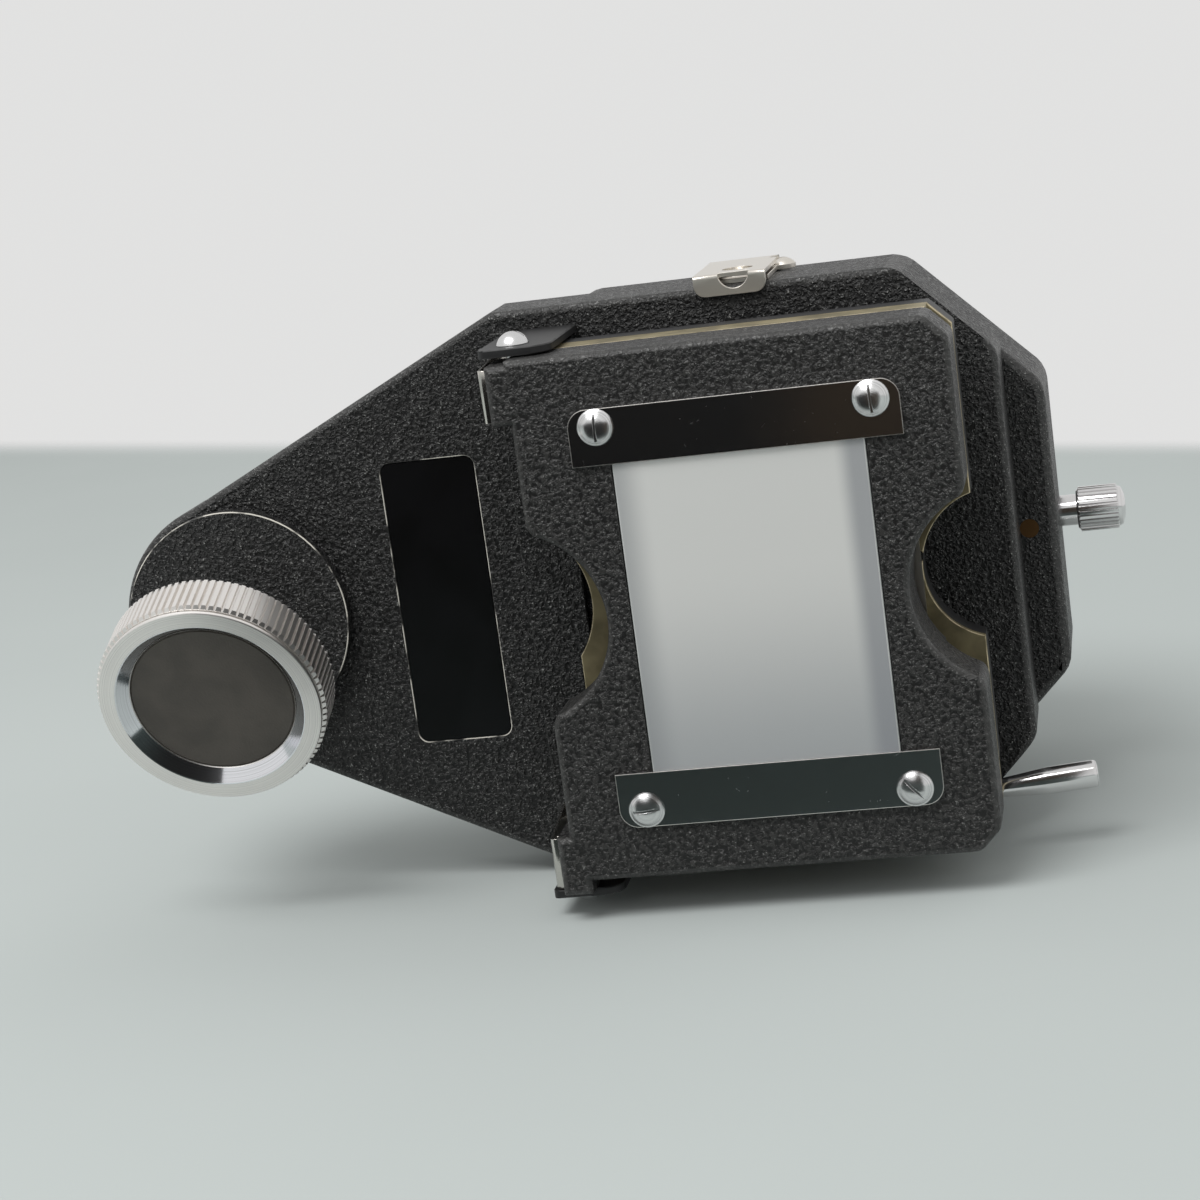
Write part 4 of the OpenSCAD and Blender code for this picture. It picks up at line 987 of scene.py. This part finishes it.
TILT = 90 + 21.0
KNOB_PIVOT = (KNOB_X, -48.5, 0.0)
on_knob = Matrix.Translation(Vector(KNOB_PIVOT) * MM) @ Matrix.Rotation(
    math.radians(TILT), 4, "X")
KNOB_BACK, KNOB_FACE, DISH = 11.7, 19.3, 1.55
knob_profile = [
    (1.82, KNOB_BACK + 3.2), (1.82, KNOB_BACK), (4.7, KNOB_BACK), (5.0, KNOB_BACK + 0.3),
    (5.0, KNOB_BACK + 3.3), (12.3, KNOB_BACK + 3.3), (12.3, KNOB_BACK + 0.2),
    (12.5, KNOB_BACK), (13.7, KNOB_BACK), (14.15, KNOB_BACK + 0.45),
    (14.15, KNOB_FACE - 0.75), (13.75, KNOB_FACE - 0.70), (13.75, KNOB_FACE - 0.45),
    (14.15, KNOB_FACE - 0.40), (14.08, KNOB_FACE - 0.08), (13.98, KNOB_FACE),
    (12.05, KNOB_FACE), (11.93, KNOB_FACE - 0.06), (10.62, KNOB_FACE - DISH),
    (10.52, KNOB_FACE - DISH - 0.1), (10.52, KNOB_FACE - DISH - 1.0),
    (2.7, KNOB_FACE - DISH - 1.0), (2.7, KNOB_FACE - DISH - 2.0),
    (1.82, KNOB_FACE - DISH - 2.0), (1.82, KNOB_BACK + 3.2),
]
knob_body = spun("knob_body", knob_profile, 128, on_knob, 20)
settle(knob_body, "knob_metal", "knob", "clamp_knob")
knob_body.data.materials.append(finish["knob_polish"])
upright = on_knob.inverted()
for face in knob_body.data.polygons:
    spot = upright @ face.center / MM
    cone = 10.6 < math.hypot(spot.x, spot.y) < 12.0 and spot.z > KNOB_FACE - DISH
    face.material_index = int(cone)

milled("knob_milling",
       (14.12, 0.46, 0.80, 0.52, KNOB_BACK + 0.45, KNOB_FACE - 0.72, 0.42), 96,
       KNOB_PIVOT, (TILT, 0, 0), "knob_metal", "knob", "clamp_knob")

# %% [markdown]
# The inlay is a disc of black leatherette, a little crowned, that covers the knob's
# screw. Its edge sits just inside the polished cone.

# %% Knob inlay
DISC_BACK, DISC_R, DISC_EDGE = KNOB_FACE - DISH - 1.0, 10.5, 0.75
inlay_profile = [(0.0, DISC_BACK), (DISC_R, DISC_BACK), (DISC_R, DISC_BACK + DISC_EDGE)]
inlay_profile += [(DISC_R - 0.22 * math.sin(math.radians(a)),
                   DISC_BACK + DISC_EDGE + 0.2 * (1 - math.cos(math.radians(a))))
                  for a in (30, 60, 90)]
inlay_profile += [(r, DISC_BACK + DISC_EDGE + 0.2 + 0.05 * (1 - (r / DISC_R) ** 2))
                  for r in (9.0, 7.0, 5.0, 3.0, 1.0, 0.0)]
settle(spun("knob_inlay", inlay_profile, 96, on_knob, 40), "leatherette", "knob",
       "knob_disc")

# %% [markdown]
# ## The lever and the thumb screw
#
# Both are small chrome pieces. The lever's arm swells from its neck to its tip and ends
# in a small chamfer. The thumb screw has a slim shaft and a milled head with a domed end.

# %% Lever
LEVER_PIVOT = Vector((20.0, -54.95, -29.2))


def at_lever_tip(edge):
    return (middle(edge) - LEVER_PIVOT).length > 14


soften("lever", "lever_arm", "lever_chrome", "lever",
       [(at_lever_tip, 0.28, 3, 1.0)], hairline=0.06)

# %% Thumb screw
THUMB_PLACE, THUMB_START, THUMB_NECK, HEAD_END = (0.0, -29.0, 0.0), 31.05, 37.1, 42.3
thumb_profile = [
    (0.0, THUMB_START), (2.0, THUMB_START), (2.0, THUMB_NECK), (2.45, THUMB_NECK),
    (2.62, THUMB_NECK + 0.2), (2.62, HEAD_END), (2.4, HEAD_END + 0.5),
    (1.5, HEAD_END + 0.85), (0.6, HEAD_END + 0.95), (0.0, HEAD_END + 0.95),
]
to_right = Matrix.Translation(Vector(THUMB_PLACE) * MM) @ Matrix.Rotation(
    math.radians(90), 4, "Y")
settle(spun("thumb_screw_body", thumb_profile, 48, to_right), "lever_chrome",
       "thumb_screw", "thumb_screw")
milled("thumb_screw_milling",
       (2.6, 0.28, 0.52, 0.30, THUMB_NECK + 0.15, HEAD_END + 0.1, 0.2), 28,
       THUMB_PLACE, (0, 90, 0), "lever_chrome", "thumb_screw", "thumb_screw")

# %% [markdown]
# ## The hinge
#
# The hinge bracket is folded sheet with an ear at each end. Its ears are smooth, and the
# part that lies on the plate wears the plate's paint. The pivot screws turn with the door,
# so their heads stand a hair off the ears. The detent springs are thin strips that run
# forward beside the bracket and roll inward at their ends, where they press on the door's
# lugs. A strip that is swept along a path keeps an even thickness.

# %% Hinge bracket and pivots
strap = soften("hinge_bracket", "hinge_strap", "black_sheet", "stage", [],
               hairline=0.14)
strap.data.materials.append(finish["casting"])
for face in strap.data.polygons:
    face.material_index = int(face.center.y / MM > PLATE_FRONT - 2)
pivots = soften("hinge_pivot_screws", "hinge_pivots", "screw_chrome", "door", [],
                hairline=0.07)
HEAD_GAP = 0.03 * MM
ear_seats = [corner.z for corner in node_box["hinge_bracket"]]
for vert in pivots.data.vertices:
    for seat, way in zip(ear_seats, (-1, 1)):
        if abs(vert.co.z - seat) < 0.01 * MM:
            vert.co.z += way * HEAD_GAP

# %% Detent springs
STRIP_WALL, ROLL_R, STRIP_W = 0.32, 0.62, 6.4
SPRING_ROOT, SPRING_TIP = (-31.7, -49.5), (-29.65, -65.7)


def spring_strip(name, base_z, shift, node):
    """Sweeps a strip from the strap forward and round its rolled end."""
    root = Vector(SPRING_ROOT) + Vector((shift, 0.0))
    tip = Vector(SPRING_TIP) + Vector((shift, 0.0))
    foot = root + Vector((0.2, -0.9))
    front = Vector((tip.x - ROLL_R, tip.y))
    path = [Vector((-26.8, root.y - 0.2)), root + Vector((0.9, -0.2)),
            root + Vector((0.35, -0.35)), foot]
    path += [foot.lerp(front, k / 6) for k in range(1, 7)]
    path += [tip - ROLL_R * Vector((math.cos(math.radians(a)), math.sin(math.radians(a))))
             for a in range(20, 300, 20)]
    bm = bmesh.new()
    bm.faces.layers.float.new("edge_band")
    rows = [[bm.verts.new(Vector((p.x, p.y, z)) * MM) for z in (base_z, base_z + STRIP_W)]
            for p in path]
    for low, high in zip(rows, rows[1:]):
        bm.faces.new([low[0], high[0], high[1], low[1]])
    piece = link(name, to_mesh(bm, name, 60))
    wall = piece.modifiers.new("sheet", "SOLIDIFY")
    wall.thickness, wall.offset = STRIP_WALL * MM, 0.0
    edge = piece.modifiers.new("edge", "BEVEL")
    edge.width, edge.segments, edge.limit_method = 0.06 * MM, 2, "ANGLE"
    settle(piece, "spring_nickel", "stage", node)
    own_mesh(piece)


spring_strip("detent_strip_upper", 24.6, 0.0, "detent_spring_upper")
spring_strip("detent_strip_lower", -33.9, 0.8, "detent_spring_lower")

# %% [markdown]
# ## The slide tray and the side clips
#
# The tray is aged brass. A thin bevel on its rims is marked, and there the brass finish
# paints a highlight. The side clips are nickel sheet with rounded lower corners.

# %% Tray and clips
def at_clip_corner(edge):
    return runs_along(edge, 1) and abs(middle(edge).z) < 35.2


def on_clip_fold(edge):
    return runs_along(edge, 0) and abs(middle(edge).z) > 37.3


soften("slide_tray", "brass_tray", "brass", "stage", [(off_depth, 0.12, 2, 1.0)],
       hairline=0)
for side in ("upper", "lower"):
    soften(f"side_clip_{side}", f"spring_clip_{side}", "nickel", "stage",
           [(at_clip_corner, 1.4, 5, 0.0), (on_clip_fold, 0.45, 4, 0.0)], hairline=0.06)

# %% [markdown]
# ## The bellows and the lens ring
#
# Bellows cloth folds into ridges and valleys, each pleat an octagon. The folds of real
# cloth are soft, so the rings follow a rounded zigzag, and the flat sides hollow a
# little. It hangs between the shift frame and the lens ring, so it blends from one body
# to the other.

# %% Bellows
BELLOWS_FRONT, BELLOWS_BACK = -27.5, -8.0
PLEATS, RIDGE, VALLEY, COLLAR, CUT = 6, 26.4, 23.4, 1.5, 10.0
CLOTH, END_GAP, HOLLOW = 0.6, 0.02, 0.006
RUN = BELLOWS_BACK - BELLOWS_FRONT - 2 * COLLAR


def bellows_half(y):
    """Half width of the cloth at a place along Y, in millimetres."""
    along = (y - BELLOWS_FRONT - COLLAR) / RUN * PLEATS
    if along <= 0 or along >= PLEATS:
        return VALLEY
    fold = 1 - abs((along % 1.0) * 2 - 1)
    soft = fold - 0.06 * math.sin(2 * math.pi * fold)
    return VALLEY + (RIDGE - VALLEY) * soft


def octagon(h, y):
    """One ring of the cloth, with half width h."""
    ring, d = [], h - CUT
    corners = [(d, h), (h, d), (h, -d), (d, -h), (-d, -h), (-h, -d), (-h, d), (-d, h)]
    for k, (x0, z0) in enumerate(corners):
        x1, z1 = corners[(k + 1) % 8]
        for part in range(6):
            t = part / 6
            dip = 1 - HOLLOW * math.sin(math.pi * t)
            ring.append(Vector(((x0 + (x1 - x0) * t) * dip, y, (z0 + (z1 - z0) * t) * dip)))
    return ring


bm = bmesh.new()
bm.faces.layers.float.new("edge_band")
levels = [BELLOWS_FRONT + END_GAP, BELLOWS_FRONT + COLLAR]
levels += [BELLOWS_FRONT + COLLAR + RUN * k / (PLEATS * 8) for k in range(1, PLEATS * 8)]
levels += [BELLOWS_BACK - COLLAR, BELLOWS_BACK - END_GAP]
rows = [[bm.verts.new(p * MM) for p in octagon(bellows_half(y), y)] for y in levels]
for low, high in zip(rows, rows[1:]):
    for k in range(len(low)):
        m = (k + 1) % len(low)
        bm.faces.new([low[k], low[m], high[m], high[k]])
bmesh.ops.recalc_face_normals(bm, faces=bm.faces)
bmesh.ops.solidify(bm, geom=bm.faces[:], thickness=CLOTH * MM)
bellows = link("pleated_bellows", to_mesh(bm, "pleated_bellows", 30))
bellows.data.materials.append(finish["cloth"])
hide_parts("bellows")
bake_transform(bellows, "shift", "lens_ring", start=(0, BELLOWS_FRONT * MM, 0),
         end=(0, BELLOWS_BACK * MM, 0))

# %% [markdown]
# The lens ring is turned from one piece, with a fine thread for the lens and a milled
# grip round its edge. Inside, low steps stop stray light. The thread is drawn as closed
# grooves in the profile, because at this size nobody can tell them from a helix.

# %% Lens ring
BORE_R, THREAD_R, GRIP_R = 25.0, 27.5, 29.65
thread = [(THREAD_R - 0.3 * (k % 2 == 0), 0.25 + 0.25 * k) for k in range(10)]
baffles = [(BORE_R - 0.25 * (k % 2), 5.5 - 0.35 * k) for k in range(14)]
ring_profile = [(BORE_R, 0.0), (27.2, 0.0)] + thread + [
    (27.2, 2.9), (29.3, 3.0), (GRIP_R, 3.3), (GRIP_R, 7.6), (29.3, 8.0), (22.1, 8.0),
    (21.8, 7.7), (21.8, 6.3), (22.1, 6.0), (24.9, 6.0), (BORE_R, 5.8),
] + baffles + [(BORE_R, 0.0)]
to_front = Matrix.Rotation(math.radians(90), 4, "X")
settle(spun("threaded_ring", ring_profile, 128, to_front, 30), "matt_black", "lens_ring",
       "lens_ring")
milled("ring_grip", (29.6, 0.38, 1.0, 0.75, 3.5, 7.4, 0.3), 120, (0.0, 0.0, 0.0),
       (90, 0, 0), "matt_black", "lens_ring", "lens_ring")

# %% [markdown]
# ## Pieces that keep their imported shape
#
# Rivets, rails, washers and the other inner pieces already have the right form. They only
# need a finish, which goes into their material slots.

# %% Finishes for the kept nodes
KEPT = {
    "black_sheet": ["gate_block", "gate_plate", "guide_rail_left", "guide_rail_right",
                    "rear_cover", "pressure_frame", "shift_frame"],
    "steel": ["gate_screws", "spring_rivets", "housing_screws", "cover_screws",
              "lever_pin", "pressure_rivets", "boss_washer", "captive_washer",
              "clamp_screw", "knob_screw", "clip_bushes"],
    "brass": ["tray_rivets", "lock_slug"],
    "bronze": ["friction_pin"],
    "nickel": ["pressure_springs", "clip_tab_screws", "clip_screws"],
}
for material, nodes in KEPT.items():
    for node in nodes:
        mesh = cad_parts[node].data
        for k in range(len(mesh.materials)):
            mesh.materials[k] = finish[material]
print("kept nodes:", sum(len(nodes) for nodes in KEPT.values()))

# %% [markdown]
# ## The studio
#
# The object stands on a plain pale floor under an even white sky. Polished strips show
# whatever is in front of them, and in a real studio that is the dark room round the
# camera, so a dark card stands there, warmer above and greener below. It is hidden from
# the camera and from diffuse light, and only shows in reflections. The pale wall begins
# at one level line of the picture: the world and the floor both fade there, measured as
# an angle at the camera.

# %% Floor
FLOOR_Z, FLOOR_R = cad_box[0][2] - 0.01 * MM, 3.0
bm = bmesh.new()
bmesh.ops.create_circle(bm, cap_ends=True, segments=96, radius=FLOOR_R,
                        matrix=Matrix.Translation((0, 0, FLOOR_Z)))
floor = link("floor", to_mesh(bm, "floor"))
floor_paint = bpy.data.materials.new("pale_floor")
floor_paint.use_nodes = True
tree = floor_paint.node_tree
shader = tree.nodes["Principled BSDF"]
spot = place(tree, "ShaderNodeTexCoord").outputs["Object"]
cloud = noise(tree, spot, 9.0, 3.0)
feed(tree, shader, Base_Color=blend_colour(tree, cloud, (0.44, 0.475, 0.465, 1),
                                           (0.48, 0.515, 0.505, 1)), Roughness=0.9,
     Specular_IOR_Level=0.0)
WALL_ANGLE = math.radians(3.0)
line_up = camera_turn @ Vector((0.0, math.cos(WALL_ANGLE), math.sin(WALL_ANGLE)))


def past_line(tree, direction):
    """0 below the level line of the picture where the wall begins, 1 above it."""
    lean = place(tree, "ShaderNodeVectorMath", operation="DOT_PRODUCT")
    feed(tree, lean, i0=direction, i1=line_up)
    return ramp(tree, lean.outputs["Value"], -0.004, 0.004)


from_camera = place(tree, "ShaderNodeVectorMath", operation="SUBTRACT")
feed(tree, from_camera, i0=spot, i1=CAMERA_PLACE)
unit = place(tree, "ShaderNodeVectorMath", operation="NORMALIZE")
feed(tree, unit, i0=from_camera.outputs[0])
fade = past_line(tree, unit.outputs[0])
clear = place(tree, "ShaderNodeBsdfTransparent")
mixed = put(tree, "ShaderNodeMixShader", i0=fade, i1=shader.outputs[0],
            i2=clear.outputs[0])
feed(tree, tree.nodes["Material Output"], Surface=mixed.outputs[0])
floor.data.materials.append(floor_paint)
print("floor at", round(FLOOR_Z / MM, 2), "mm")

# %% World, lamp and card
world = bpy.data.worlds.new("studio")
bpy.context.scene.world = world
world.use_nodes = True
tree = world.node_tree
background = tree.nodes["Background"]
sky = place(tree, "ShaderNodeTexCoord").outputs["Generated"]
colour = blend_colour(tree, past_line(tree, sky), (0.50, 0.535, 0.525, 1),
                      (0.84, 0.84, 0.835, 1))
feed(tree, background, Color=colour, Strength=0.9)

KEY_PLACE, KEY_WATTS = (-0.25, -0.45, 0.75), 5.0
key_data = bpy.data.lights.new("key", "AREA")
key_data.shape, key_data.size, key_data.size_y = "RECTANGLE", 0.6, 0.4
key_data.energy = KEY_WATTS
key = bpy.data.objects.new("key", key_data)
key.location = KEY_PLACE
key.rotation_euler = (-key.location).to_track_quat("-Z", "Y").to_euler()
bpy.context.scene.collection.objects.link(key)
bpy.context.scene.view_settings.view_transform = "Standard"

CARD_Y = -96
bm = bmesh.new()
card_corners = [(-78, -37.4), (40, -37.4), (40, 36), (-78, 36)]
bm.faces.new([bm.verts.new(Vector((x, CARD_Y, z)) * MM) for x, z in card_corners])
card = link("black_card", to_mesh(bm, "black_card"))
card_paint, tree, shader, spot = start_material("card_dark", specular=0.0)
parts = put(tree, "ShaderNodeSeparateXYZ", Vector=spot)
lower = ramp(tree, maths(tree, "MULTIPLY", parts.outputs["Z"], -1.0), -0.004, 0.022)
warm = ramp(tree, maths(tree, "MULTIPLY_ADD", noise(tree, spot, 26.0, 3.0), 0.03,
                        parts.outputs["X"]), 0.012, 0.030)
room = blend_colour(tree, warm, (0.035, 0.034, 0.034, 1), (0.075, 0.058, 0.045, 1))
room = blend_colour(tree, lower, room, (0.105, 0.125, 0.122, 1))
feed(tree, shader, Base_Color=room, Roughness=0.9)
card.data.materials.append(card_paint)
for ray in ("camera", "diffuse", "shadow", "transmission"):
    setattr(card, "visible_" + ray, False)
print("studio ready")
